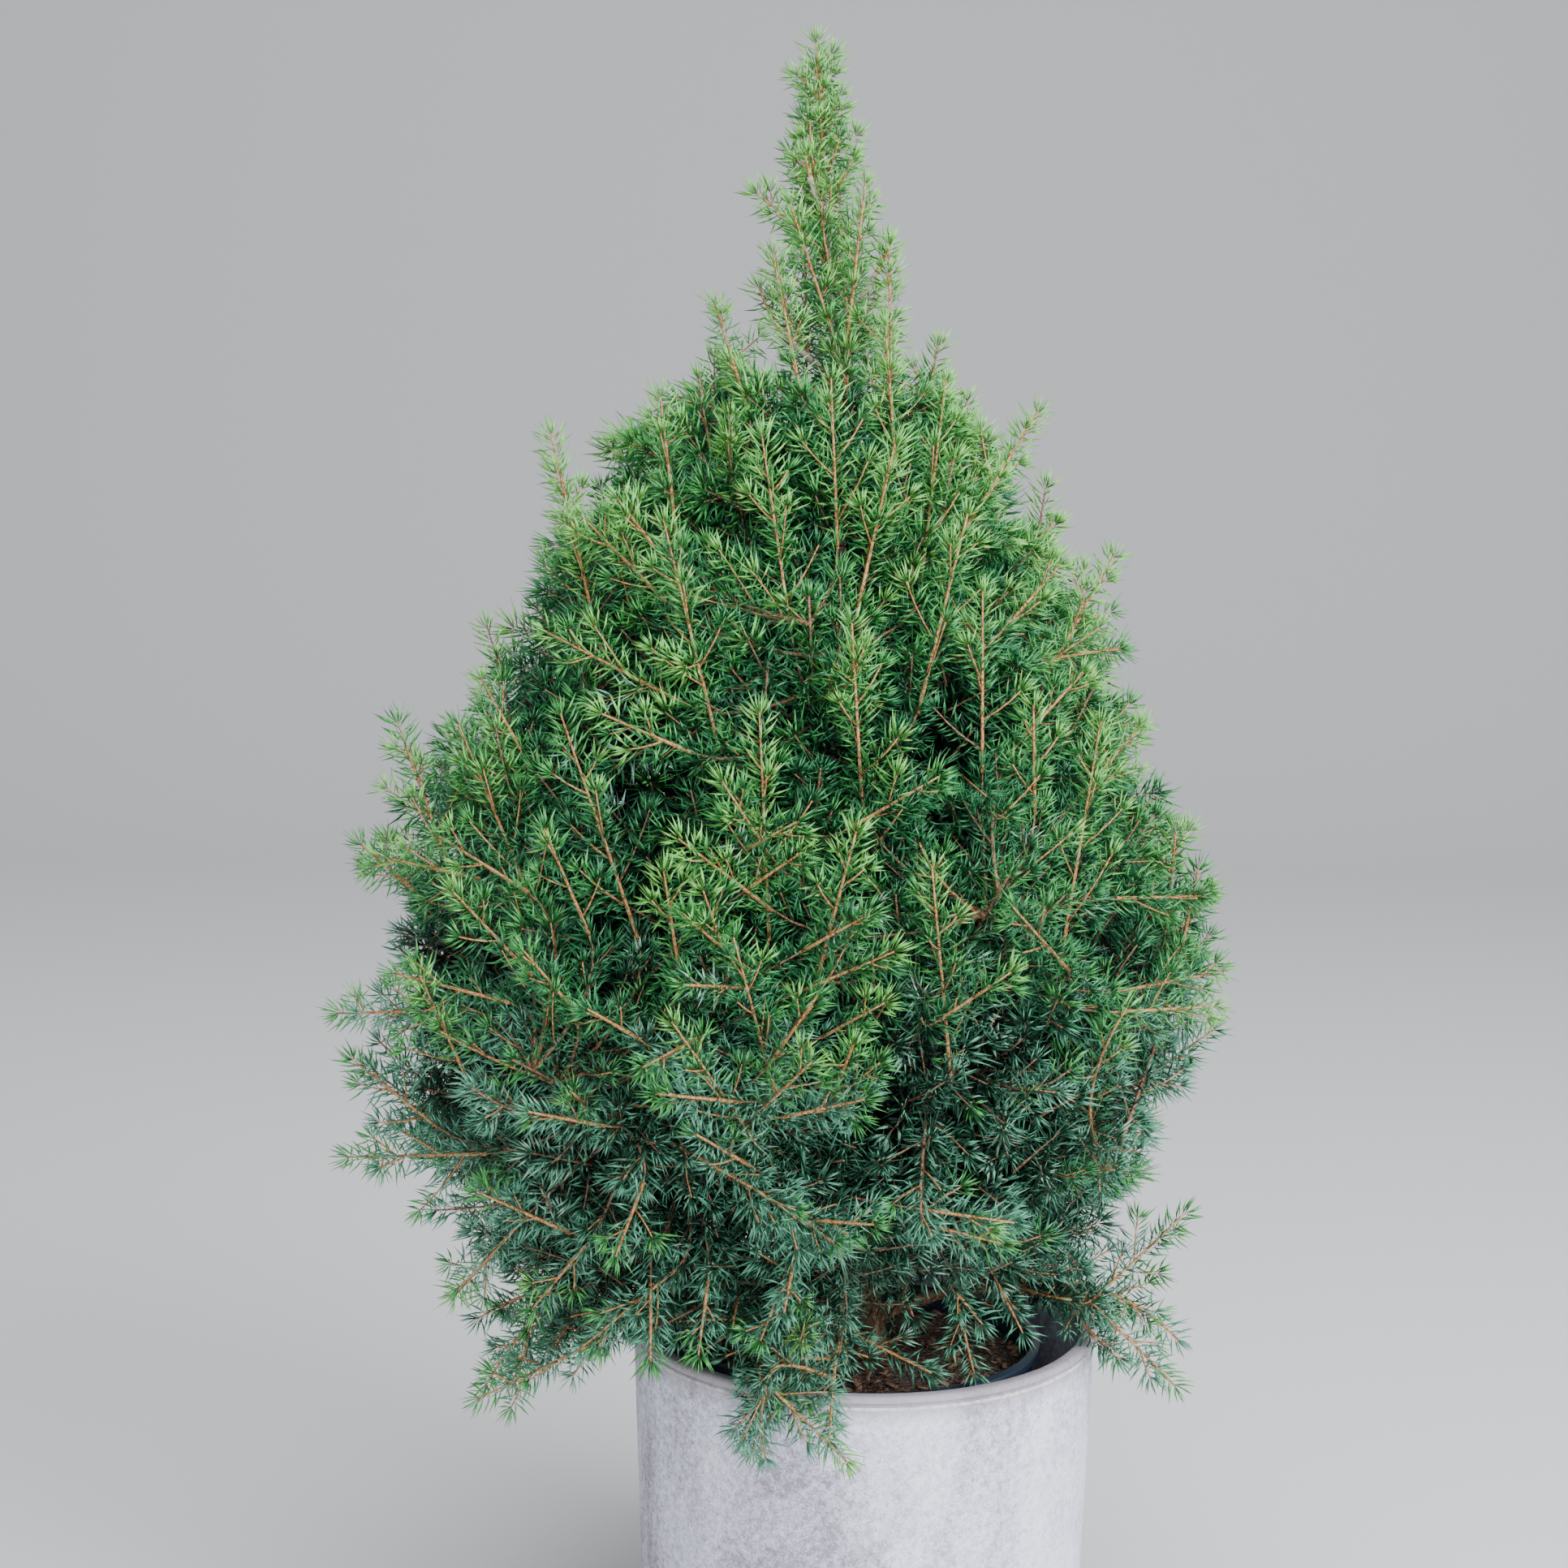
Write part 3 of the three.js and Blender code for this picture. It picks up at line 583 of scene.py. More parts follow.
def dealt(counts: np.ndarray) -> tuple[np.ndarray, np.ndarray]:
    """Numbers things that are dealt out to owners.

    Args:
        counts: how many things each owner gets.

    Returns:
        Each thing's owner, and its number among that owner's things.
    """
    owner = np.repeat(np.arange(len(counts)), counts)
    first = np.concatenate([[0], np.cumsum(counts)[:-1]])
    return owner, np.arange(len(owner)) - first[owner]


def repeated(faces: np.ndarray, count: int, corners: int) -> np.ndarray:
    """One thing's faces, for each of many things that follow each other among the corners."""
    return (faces[None] + np.arange(count)[:, None, None] * corners).reshape(-1, 3)


def on_trunk_plane(places: np.ndarray) -> np.ndarray:
    """Where the viewer sees places on the upright plane through the pot's axis, in mm."""
    share = VIEWER[1] / (VIEWER[1] - places[:, 1])
    return VIEWER + (places - VIEWER) * share[:, None]


class Draws:
    """The source's seeded numbers, the same each time for one seed."""

    MULTIPLIER: int = 48271
    MODULUS: int = 2147483647

    def __init__(self, seed: int) -> None:
        """Starts the run of numbers at a seed."""
        self.state = seed

    def next(self) -> float:
        """The next number between nought and one."""
        self.state = (self.state * self.MULTIPLIER) % self.MODULUS
        return self.state / self.MODULUS

    def around_nought(self, width: float) -> float:
        """The next number, spread over a width about nought."""
        return (self.next() - 0.5) * width


class Line:
    """A smooth line kept as close points, read by the share of its length."""

    def __init__(self, points: np.ndarray) -> None:
        """Keeps the points and their distances along the line.

        Args:
            points: one place a row, in mm.
        """
        self.points = points
        steps = np.linalg.norm(np.diff(points, axis=0), axis=1)
        self.along = np.concatenate([[0.0], np.cumsum(steps)])
        self.length = float(self.along[-1])

    @classmethod
    def bend(cls, start: np.ndarray, bend: np.ndarray, end: np.ndarray) -> "Line":
        """A quadratic curve from a start to an end, pulled towards a bend point."""
        t = np.linspace(0, 1, 60)[:, None]
        return cls((1 - t) ** 2 * start + 2 * (1 - t) * t * bend + t ** 2 * end)

    def at(self, share: Numbers) -> np.ndarray:
        """Reads the line.

        Args:
            share: a share of the line's length, or several.

        Returns:
            The place there, or one place a row.
        """
        wanted = np.atleast_1d(share) * self.length
        found = np.stack([np.interp(wanted, self.along, self.points[:, k]) for k in range(3)], axis=1)
        return found[0] if np.isscalar(share) else found

    def heading(self, share: float) -> np.ndarray:
        """The line's direction at a share of it."""
        return unit(self.at(min(share + 0.01, 1.0)) - self.at(max(share - 0.01, 0.0)))


class BoughKind(Enum):
    """How a bough grows: out in the crown, low over the rim, high below the leader, or as the leader."""

    MAIN = "main"
    LOW = "low"
    UPPER = "upper"
    LEADER = "leader"

    @property
    def slight(self) -> bool:
        """Whether the bough is a thin one near the top."""
        return self in (BoughKind.UPPER, BoughKind.LEADER)


@dataclass
class Bough:
    """One bough's line with what its growth needs."""

    kind: BoughKind
    azimuth: float
    draws: Draws
    line: Line

    @property
    def across(self) -> np.ndarray:
        """The level direction square to the bough's azimuth."""
        return np.array([-math.sin(self.azimuth), math.cos(self.azimuth), 0.0])


@dataclass(frozen=True)
class LowBoughSizes:
    """The sizes of a low bough that passes over the pot's rim and hangs outside it, in degrees and mm."""

    azimuth: float
    attach: float
    arch: float
    arch_height: float
    reach: float
    tip_height: float
    seed: int


@dataclass
class CrownRule:
    """The source's rule for the trunk, the crown's outline and the boughs, in mm, with the same sizes."""

    seed: int = 4100
    seed_step: int = 17
    upper_seed: int = 900
    leader_seed: int = 2000
    soil_top: float = 190
    trunk_top: float = 852
    trunk_foot_r: float = 8.5
    trunk_tip_r: float = 1.4
    trunk_taper: float = 0.8
    root_flare: float = 4
    flare_height: float = 22
    foot_x: float = 4
    lean_x: float = -39
    lean_span: float = 717
    trunk_sway: float = 2.5
    sway_turn: float = 5
    leader_rises: tuple = (0.3, 28, 58)
    heights: tuple = (160, 250, 310, 360, 410, 460, 520, 590, 650, 700, 750, 800, 860)
    reaches: tuple = (196, 192, 214, 240, 252, 241, 216, 176, 146, 116, 66, 43, 26)
    bias_low: float = 0.3
    bias_high: float = 0.1
    main_boughs: int = 19
    low_tip: float = 268
    high_tip: float = 772
    tip_scatter: float = 24
    top_crowding: float = 0.08
    low_attach: float = 214
    high_attach: float = 610
    attach_power: float = 2.4
    attach_scatter: float = 6
    first_azimuth: float = 0.75
    azimuth_scatter: float = 0.35
    droop_angle: float = 100
    upright_angle: float = 10
    droop_power: float = 1.8
    angle_scatter: float = 12
    least_reach: float = 0.92
    bend_share: float = 0.55
    bough_foot_r: float = 4.6
    low_boughs: tuple = (
        LowBoughSizes(azimuth=186, attach=206, arch=150, arch_height=292, reach=212, tip_height=176, seed=71),
        LowBoughSizes(azimuth=-9, attach=209, arch=118, arch_height=268, reach=176, tip_height=208, seed=72),
        LowBoughSizes(azimuth=-98, attach=204, arch=128, arch_height=286, reach=156, tip_height=196, seed=73),
    )
    upper_shoots: int = 7
    upper_low_attach: float = 652
    upper_step: float = 28
    upper_length: float = 104
    upper_lean: float = 40
    upper_lean_share: float = 0.75
    upper_end_share: float = 0.44
    boughs: list[Bough] = field(default_factory=list)

    def __post_init__(self) -> None:
        """Grows the boughs in the source's order."""
        self.boughs = [self.main_bough(k) for k in range(self.main_boughs)]
        self.boughs += [self.low_bough(sizes) for sizes in self.low_boughs]
        self.boughs += [self.upper_shoot(k) for k in range(self.upper_shoots)]
        tip = np.array([self.trunk_at(self.trunk_top + rise) for rise in self.leader_rises])
        self.boughs.append(Bough(BoughKind.LEADER, 0, Draws(self.seed + self.leader_seed), Line(tip)))

    def trunk_at(self, height: float) -> np.ndarray:
        """The trunk's axis, with its lean and its slight sway.

        Args:
            height: a height above the ground.

        Returns:
            The place on the axis.
        """
        share = (height - self.soil_top) / self.lean_span
        x = self.foot_x + self.lean_x * share - self.trunk_sway * math.sin(share * math.pi * 2)
        return np.array([x, self.trunk_sway * math.sin(share * self.sway_turn), height])

    def trunk_radius(self, height: float) -> float:
        """The trunk's radius, with its root flare.

        Args:
            height: a height above the ground.

        Returns:
            The radius there.
        """
        share = (height - self.soil_top) / (self.trunk_top - self.soil_top)
        flare = self.root_flare * math.exp((self.soil_top - height) / self.flare_height * 2)
        return lerp(self.trunk_foot_r, self.trunk_tip_r, max(share, 0) ** self.trunk_taper) + flare

    def reach(self, height: Numbers, azimuth: Numbers) -> Numbers:
        """How far the tips reach from the trunk, farther on the left.

        Args:
            height: the tips' heights.
            azimuth: the ways that they lie.

        Returns:
            How far out the crown's outline is.
        """
        up = np.clip((np.asarray(height) - self.heights[0]) / (self.heights[-1] - self.heights[0]), 0, 1)
        bias = lerp(self.bias_low, self.bias_high, np.sqrt(up))
        leftward = np.cos(np.asarray(azimuth) - math.pi)
        return np.interp(height, self.heights, self.reaches) * (1 + bias * leftward)

    def bough_line(self, attach: float, tip: np.ndarray, tip_angle: float, azimuth: float) -> Line:
        """A bough's line from the trunk to its tip.

        Args:
            attach: the height at which it leaves the trunk.
            tip: its tip.
            tip_angle: the lean of its tip, in radians.
            azimuth: the way that it grows.

        Returns:
            The line, which ends along its tip's lean.
        """
        foot = self.trunk_at(attach)
        back = float(np.linalg.norm(foot - tip)) * self.bend_share
        return Line.bend(foot, tip - leaning(tip_angle, azimuth) * back, tip)

    def main_bough(self, index: int) -> Bough:
        """Grows a main bough.

        Args:
            index: its number, counted from the lowest.

        Returns:
            The bough.
        """
        draws = Draws(self.seed + index * self.seed_step)
        up = (index + 0.5) / self.main_boughs
        crowded = up + self.top_crowding * math.sin(up * math.pi)
        tip_height = lerp(self.low_tip, self.high_tip, crowded) + draws.around_nought(self.tip_scatter)
        azimuth = self.first_azimuth + index * GOLDEN_ANGLE + draws.around_nought(self.azimuth_scatter)
        attach = lerp(self.low_attach, self.high_attach, up ** self.attach_power)
        attach += draws.around_nought(self.attach_scatter)
        droop = lerp(self.upright_angle, self.droop_angle, (1 - up) ** self.droop_power)
        tip_angle = math.radians(droop + draws.around_nought(self.angle_scatter))
        reach = float(self.reach(tip_height, azimuth)) * lerp(self.least_reach, 1, draws.next())
        tip = self.trunk_at(tip_height) + np.array([reach * math.cos(azimuth), reach * math.sin(azimuth), 0])
        return Bough(BoughKind.MAIN, azimuth, draws, self.bough_line(attach, tip, tip_angle, azimuth))

    def low_bough(self, sizes: LowBoughSizes) -> Bough:
        """Grows a low bough over the pot's rim.

        Args:
            sizes: the bough's sizes.

        Returns:
            The bough.
        """
        azimuth = math.radians(sizes.azimuth)
        way = np.array([math.cos(azimuth), math.sin(azimuth), 0.0])
        up = np.array([0.0, 0.0, 1.0])
        arch = way * sizes.arch + up * sizes.arch_height
        line = Line.bend(self.trunk_at(sizes.attach), arch, way * sizes.reach + up * sizes.tip_height)
        return Bough(BoughKind.LOW, azimuth, Draws(sizes.seed), line)

    def upper_shoot(self, index: int) -> Bough:
        """Grows a short upper shoot straight from the trunk below the leader.

        Args:
            index: its number, counted from the lowest.

        Returns:
            The shoot.
        """
        draws = Draws(self.seed + self.upper_seed + index * self.seed_step)
        attach = self.upper_low_attach + index * self.upper_step
        azimuth = self.first_azimuth + (self.main_boughs + index) * GOLDEN_ANGLE
        scale = lerp(1, self.upper_end_share, index / (self.upper_shoots - 1))
        lean = math.radians(self.upper_lean * lerp(self.upper_lean_share, 1, scale))
        tip = self.trunk_at(attach) + leaning(lean, azimuth) * self.upper_length * scale
        line = self.bough_line(attach, tip, math.radians(self.upright_angle), azimuth)
        return Bough(BoughKind.UPPER, azimuth, draws, line)


@dataclass
class ClayPot:
    """The clay pot: a slightly tapered wall, a groove under its rim band and a rounded rim, in mm."""

    node: str = "clay_pot"
    height: float = 211
    rim_r: float = 130
    rim_round: float = 2.8
    inner_round: float = 3
    foot_r: float = 122.5
    foot: float = 8.3
    wall: float = 9
    wall_rings: int = 7
    floor: float = 12
    band: float = 4.4
    groove: float = 1.7
    sides: int = 128

    def build(self) -> bpy.types.Object:
        """Draws the pot up from its foot, over its rim and down to its inner floor.

        Returns:
            The pot.
        """
        under = self.height - self.band
        side = self.rim_r - 0.8
        steps = [k / self.wall_rings for k in range(self.wall_rings + 1)]
        wall = [(lerp(self.foot_r, side, s), lerp(self.foot + 2.5, under - 4, s)) for s in steps]
        rim = arc(self.rim_r - self.rim_round, self.height - self.rim_round, self.rim_round, self.rim_round,
                  (-12, 12, 36, 60, 80))
        inner = self.rim_r - self.wall
        inside = arc(inner + self.inner_round, self.height - self.inner_round, -self.inner_round,
                     self.inner_round, (80, 55, 30, 5))
        rings = [
            (self.foot_r - 2.5, self.foot), (self.foot_r - 0.6, self.foot + 0.7), *wall,
            (side, under - 2.6), (side - self.groove, under - 1.2), (side - self.groove, under - 0.3),
            (self.rim_r - 0.3, under + 0.9), *rim, *inside, (inner, self.height - 20),
            (inner - 1.5, self.height - 80), (self.foot_r - self.wall, self.foot + self.floor),
        ]
        piece = turned(self.node + "_thrown", rings, self.sides)
        self.add_hand_marks(piece)
        smooth(piece, 40)
        return piece

    def dress(self, piece: bpy.types.Object, clay: bpy.types.Material) -> None:
        """Gives the pot its clay."""
        clad(piece, clay, "clay", self.node)

    @staticmethod
    def add_hand_marks(piece: bpy.types.Object) -> None:
        """Adds the slight unevenness of a thrown wall.

        Args:
            piece: the thrown piece.
        """
        subdivide = piece.modifiers.new("finer", "SUBSURF")
        subdivide.subdivision_type = "SIMPLE"
        subdivide.levels = subdivide.render_levels = 1
        bpy.context.view_layer.objects.active = piece
        bpy.ops.object.modifier_apply(modifier="finer")
        add_relief(piece, 38, 0.7)


@dataclass
class Saucer:
    """The clay saucer: a dish with a thick rounded lip over a hollow throat and a flat foot, in mm."""

    node: str = "saucer"
    floor: float = 8
    height: float = 34
    lip_r: float = 140
    lip_inner_r: float = 126.5
    foot_r: float = 121
    lip: float = 6
    inner_round: float = 4
    sides: int = 128

    def build(self) -> bpy.types.Object:
        """Draws the saucer out from its foot, round its lip and in to its floor.

        Returns:
            The saucer.
        """
        lip = arc(self.lip_r - self.lip, self.height - self.lip, self.lip, self.lip,
                  (-45, -30, -15, 0, 15, 30, 45, 60, 75, 90))
        inner = arc(self.lip_inner_r + self.inner_round, self.height - self.inner_round, -self.inner_round,
                    self.inner_round, (85, 60, 30, 0))
        rings = [
            (self.foot_r - 2, 0), (self.foot_r - 0.4, 0.5), (self.foot_r, 2), (self.foot_r + 3, 5),
            (self.foot_r + 9.5, 9), (self.lip_r - 7, 17), (self.lip_r - 6, 20.5), *lip, *inner,
            (self.lip_inner_r - 1, self.floor + 3), (self.lip_inner_r - 2.5, self.floor),
            (self.lip_inner_r - 12, self.floor),
        ]
        piece = turned(self.node + "_thrown", rings, self.sides)
        ClayPot.add_hand_marks(piece)
        smooth(piece, 40)
        return piece

    def dress(self, piece: bpy.types.Object, clay: bpy.types.Material) -> None:
        """Gives the saucer the pot's clay."""
        clad(piece, clay, "clay", self.node)


@dataclass
class NurseryPot:
    """The thin nursery pot: a tapered shell of black plastic with a turned lip, in mm."""

    node: str = "nursery_pot"
    top: float = 201
    foot: float = 20.6
    rim_r: float = 100
    foot_r: float = 86
    wall: float = 1.6
    rim_lip: float = 4
    lip_height: float = 6
    sides: int = 96

    def radius(self, height: float) -> float:
        """The outer radius below the lip at a height."""
        return lerp(self.foot_r, self.rim_r - self.rim_lip, (height - self.foot) / (self.top - self.foot))

    def build(self) -> bpy.types.Object:
        """Draws the shell up from its foot, round its lip and down to its floor.

        Returns:
            The nursery pot.
        """
        under = self.top - self.lip_height
        inner = self.radius(self.top) - self.wall
        rings = [
            (self.foot_r - 1.5, self.foot), (self.foot_r, self.foot + 1.5),
            (self.radius(under - 1), under - 1), (self.radius(under), under),
            (self.rim_r - 0.8, under + 1), (self.rim_r, under + 1.8),
            (self.rim_r, self.top - 1.2), (self.rim_r - 0.5, self.top - 0.4), (self.rim_r - 1.4, self.top),
            (inner + 0.5, self.top), (inner, self.top - 0.6),
            (self.radius(self.foot + 3) - self.wall, self.foot + 3),
        ]
        piece = turned(self.node + "_moulded", rings, self.sides)
        smooth(piece, 30)
        return piece

    def dress(self, piece: bpy.types.Object) -> None:
        """Gives the nursery pot its black plastic."""
        clad(piece, MouldedPlastic().build(), "black_plastic", self.node)


@dataclass
class PottingSoil:
    """The soil in the nursery pot, crumbly and slightly domed, with what has fallen on it, in mm."""

    node: str = "potting_soil"
    top: float = 190
    dome: float = 3
    edge_r: float = 93
    foot: float = 24
    foot_r: float = 84
    sides: int = 96
    rings_in: int = 26
    needles: int = 950
    needle_lengths: tuple = (7, 13)
    needle_width: float = 0.9
    chips: int = 380
    chip_length: float = 5.5
    seed: int = 11

    def build(self) -> bpy.types.Object:
        """Draws the soil up to its edge and in over its top, and roughens it.

        Returns:
            The soil.
        """
        shares = [k / self.rings_in for k in range(self.rings_in + 1)]
        crown = [(lerp(self.edge_r, 2, s), self.top - self.dome * (1 - s) ** 2) for s in shares]
        rings = [(self.foot_r, self.foot), (self.edge_r - 0.6, self.top - 14), *crown]
        piece = turned(self.node + "_heaped", rings, self.sides)
        # Clods, then crumbs
        add_relief(piece, 14, 2.4)
        add_relief(piece, 4, 2.0)
        smooth(piece, 60)
        return piece

    def dress(self, piece: bpy.types.Object) -> None:
        """Gives the soil its peat."""
        clad(piece, PeatSoil().build(), "soil", self.node)

    def build_litter(self) -> tuple[bpy.types.Object, bpy.types.Object]:
        """Scatters fallen needles and bark chips over the soil.

        Returns:
            The needles and the chips.
        """
        rng = np.random.default_rng(self.seed)
        centres = self.scatter(rng, self.needles, self.needle_width)
        turn = rng.uniform(0, 2 * math.pi, self.needles)
        tilt = rng.normal(0, 0.16, self.needles)
        ways = np.stack([np.cos(turn) * np.cos(tilt), np.sin(turn) * np.cos(tilt), np.sin(tilt)], axis=1)
        lengths = rng.uniform(*self.needle_lengths, self.needles) * MM
        widths = np.full(self.needles, self.needle_width * MM)
        points, triangles = slivers(centres - ways * lengths[:, None] / 2, ways, lengths, widths, rng)
        needles = joined_mesh("fallen_needles", points, triangles)
        corners, faces = chips(rng, self.scatter(rng, self.chips, 1.2), self.chip_length * MM)
        return needles, joined_mesh("bark_chips", corners, faces)

    @staticmethod
    def dress_litter(needles: bpy.types.Object, bark: bpy.types.Object) -> None:
        """Gives the fallen needles and the chips their dry browns."""
        clad(needles, Litter.NEEDLE.value.build(), "soil")
        clad(bark, Litter.CHIP.value.build(), "soil")

    def scatter(self, rng: np.random.Generator, count: int, lift_mm: float) -> np.ndarray:
        """Places spread evenly over the soil, a little above it.

        Args:
            rng: the seeded numbers.
            count: how many places.
            lift_mm: how far above the soil.

        Returns:
            One place a row, in metres.
        """
        radius = np.sqrt(rng.uniform(0.02, 1, count)) * (self.edge_r - 5)
        turn = rng.uniform(0, 2 * math.pi, count)
        height = self.top - self.dome * (radius / self.edge_r) ** 2 + lift_mm + rng.uniform(0, 1.6, count)
        return np.stack([radius * np.cos(turn), radius * np.sin(turn), height], axis=1) * MM


def chips(rng: np.random.Generator, centres: np.ndarray, size: float) -> tuple[np.ndarray, np.ndarray]:
    """Flat wedge-shaped chips, one at each centre.

    Args:
        rng: the seeded numbers.
        centres: one place a row.
        size: a chip's length in metres.

    Returns:
        Corners and triangles.
    """
    count = len(centres)
    block = np.array([[-1, -0.5, -0.16], [1, -0.36, -0.1], [0.8, 0.5, -0.16], [-0.9, 0.42, -0.12],
                      [-0.9, -0.4, 0.14], [0.8, -0.3, 0.2], [0.7, 0.36, 0.12], [-0.7, 0.4, 0.16]]) * size / 2
    faces = np.array([[0, 2, 1], [0, 3, 2], [4, 5, 6], [4, 6, 7], [0, 1, 5], [0, 5, 4], [1, 2, 6], [1, 6, 5],
                      [2, 3, 7], [2, 7, 6], [3, 0, 4], [3, 4, 7]])
    turn, tilt = rng.uniform(0, 2 * math.pi, count), rng.normal(0, 0.35, count)
    cos_t, sin_t, cos_l, sin_l = np.cos(turn), np.sin(turn), np.cos(tilt), np.sin(tilt)
    zero = np.zeros(count)
    spin = np.array([[cos_t * cos_l, -sin_t, cos_t * sin_l], [sin_t * cos_l, cos_t, sin_t * sin_l],
                     [-sin_l, zero, cos_l]]).transpose(2, 0, 1)
    scale = rng.uniform(0.5, 1.4, (count, 1, 1))
    corners = centres[:, None, :] + np.einsum("nij,kj->nki", spin, block) * scale
    return corners.reshape(-1, 3), repeated(faces, count, len(block))


def slivers(roots: np.ndarray, ways: np.ndarray, lengths: np.ndarray, widths: np.ndarray,
            rng: np.random.Generator, bend: float = 0.0,
            towards: np.ndarray | None = None) -> tuple[np.ndarray, np.ndarray]:
    """Needles of four faces: a root, a tip, and two shoulders that give them width and thickness.

    Args:
        roots: where each needle starts.
        ways: each needle's direction.
        lengths: each needle's length in metres.
        widths: each needle's width in metres.
        rng: the seeded numbers.
        bend: how far the tips bend, as a share of the length.
        towards: the direction that each tip bends to.

    Returns:
        Corners and triangles.
    """
    count = len(roots)
    side = unit(np.cross(ways, unit(rng.normal(size=(count, 3)))))
    if towards is None:
        back = np.cross(side, ways)
    else:
        back = -unit(towards - ways * np.sum(towards * ways, axis=1, keepdims=True))
        side = unit(np.cross(ways, back))
    back = unit(back)
    reach = ways * lengths[:, None]
    tips = roots + reach - back * (bend * lengths)[:, None]
    middle = roots + reach * 0.5 + back * (bend * lengths * 0.2 + widths * 0.42)[:, None]
    half = side * widths[:, None] * 0.5
    corners = np.stack([roots, tips, middle + half, middle - half], axis=1).reshape(-1, 3)
    return corners, repeated(SLIVER_FACES, count, 4)


@dataclass
class TwigSet:
    """Twigs of one kind as arrays in metres: their points, thickness, and how their needles grow."""

    points: np.ndarray
    foot_r: np.ndarray
    tip_r: np.ndarray
    needle_mm: np.ndarray
    vigour: np.ndarray

    @classmethod
    def alike(cls, points: np.ndarray, foot_mm: Numbers, tip_mm: float, needle_mm: float,
              vigour: np.ndarray) -> "TwigSet":
        """Twigs with like thickness and needles.

        Args:
            points: the twigs' points, one twig a row.
            foot_mm: their radius at the foot, for all or for each.
            tip_mm: their radius at the tip.
            needle_mm: their needles' length.
            vigour: how well each twig's needles grow.

        Returns:
            The twigs.
        """
        count = len(points)
        return cls(points, np.full(count, foot_mm * MM), np.full(count, tip_mm * MM),
                   np.full(count, needle_mm), vigour)

    @property
    def lengths(self) -> np.ndarray:
        """Each twig's length in metres."""
        return np.linalg.norm(np.diff(self.points, axis=1), axis=2).sum(axis=1)

    def places(self, owner: np.ndarray, share: np.ndarray) -> tuple[np.ndarray, np.ndarray]:
        """Places on twigs and the directions there.

        Args:
            owner: which twig each place is on.
            share: how far along the twig each place is.

        Returns:
            Places and directions, one a row.
        """
        steps = self.points.shape[1] - 1
        scaled = np.clip(share, 0, 0.9999) * steps
        low = scaled.astype(int)
        part = (scaled - low)[:, None]
        before, after = self.points[owner, low], self.points[owner, low + 1]
        return before + (after - before) * part, unit(after - before)

    def tubes(self, chosen: np.ndarray, sides: int) -> tuple[np.ndarray, np.ndarray]:
        """Closed tapering tubes along chosen twigs.

        Args:
            chosen: which twigs.
            sides: faces round each tube.

        Returns:
            Corners and triangles.
        """
        line = self.points[chosen]
        count, rings = line.shape[0], line.shape[1]
        along = unit(np.gradient(line, axis=1))
        aside = unit(np.cross(along, OBLIQUE))
        other = np.cross(along, aside)
        taper = np.linspace(0, 1, rings)[None, :]
        radius = self.foot_r[chosen, None] * (1 - taper) + self.tip_r[chosen, None] * taper
        turn = np.arange(sides) * 2 * math.pi / sides
        round_it = aside[:, :, None] * np.cos(turn)[:, None] + other[:, :, None] * np.sin(turn)[:, None]
        ring = line[:, :, None] + radius[:, :, None, None] * round_it
        corners = np.concatenate([ring.reshape(count, -1, 3), line[:, :1], line[:, -1:]], axis=1)
        base, tip = rings * sides, rings * sides + 1
        faces = []
        for k in range(sides):
            n = (k + 1) % sides
            faces.append([base, n, k])
            faces.append([(rings - 1) * sides + k, (rings - 1) * sides + n, tip])
            for r in range(rings - 1):
                a, b, c, d = r * sides + k, r * sides + n, (r + 1) * sides + n, (r + 1) * sides + k
                faces.extend([[a, b, c], [a, c, d]])
        return corners.reshape(-1, 3), repeated(np.array(faces), count, corners.shape[1])


def joined(sets: list[TwigSet]) -> TwigSet:
    """Twig sets put together, all with the same number of points a twig."""
    names = ("points", "foot_r", "tip_r", "needle_mm", "vigour")
    return TwigSet(*(np.concatenate([getattr(s, name) for s in sets]) for name in names))


def curved(starts: np.ndarray, ends: np.ndarray, headings: np.ndarray, pull: float, rings: int) -> np.ndarray:
    """Points along curves that end along given headings.

    Args:
        starts: where the curves start.
        ends: where they end.
        headings: their directions at the end.
        pull: how far back along the heading the curve bends, as a share of its span.
        rings: points on each curve.

    Returns:
        One curve a row.
    """
    span = np.linalg.norm(ends - starts, axis=1, keepdims=True)
    bend = (ends - headings * span * pull)[:, None]
    t = np.linspace(0, 1, rings)[None, :, None]
    return (1 - t) ** 2 * starts[:, None] + 2 * (1 - t) * t * bend + t ** 2 * ends[:, None]


@dataclass(frozen=True)
class SprayHabit:
    """How a kind of bough bears the source's sprays, in mm and shares of its length."""

    count: int = 7
    first: float = 0.46
    last: float = 0.92
    scale: float = 1.0
    lift: float = 0.35
    room: float = 20


SPRAY_HABITS = {
    BoughKind.MAIN: SprayHabit(),
    BoughKind.LOW: SprayHabit(count=11, lift=0),
    BoughKind.UPPER: SprayHabit(count=3, first=0.3, scale=0.8, room=0),
}


@dataclass(frozen=True)
class TintRule:
    """How bright a spray's tint is, in mm: painted light that grows with its height, and painted shade that
    grows with its depth in the crown.
    """

    sun_from: float = 230
    sun_over: float = 430
    deep_over: float = 60
    root_over: float = 110
    base: float = 0.5
    sun_gain: float = 0.4
    deep_loss: float = 0.5
    root_loss: float = 0.25
    tip_from: float = 0.72
    tip_gain: float = 0.2
    luck: float = 0.13
    low_sun: float = 0.45
    frosted_shares: tuple = (0.13, 0.03)
    frosted_values: tuple = (0.25, 0.6)
    # Below each value the tint takes over from the one before, the bluish one only low in the crown
    steps: tuple = (
        (0.92, Tint.FRESH, False), (0.7, Tint.LEAF, False), (0.7, Tint.BLUE, True), (0.32, Tint.DEEP, False),
        (0.1, Tint.SHADE, False),
    )


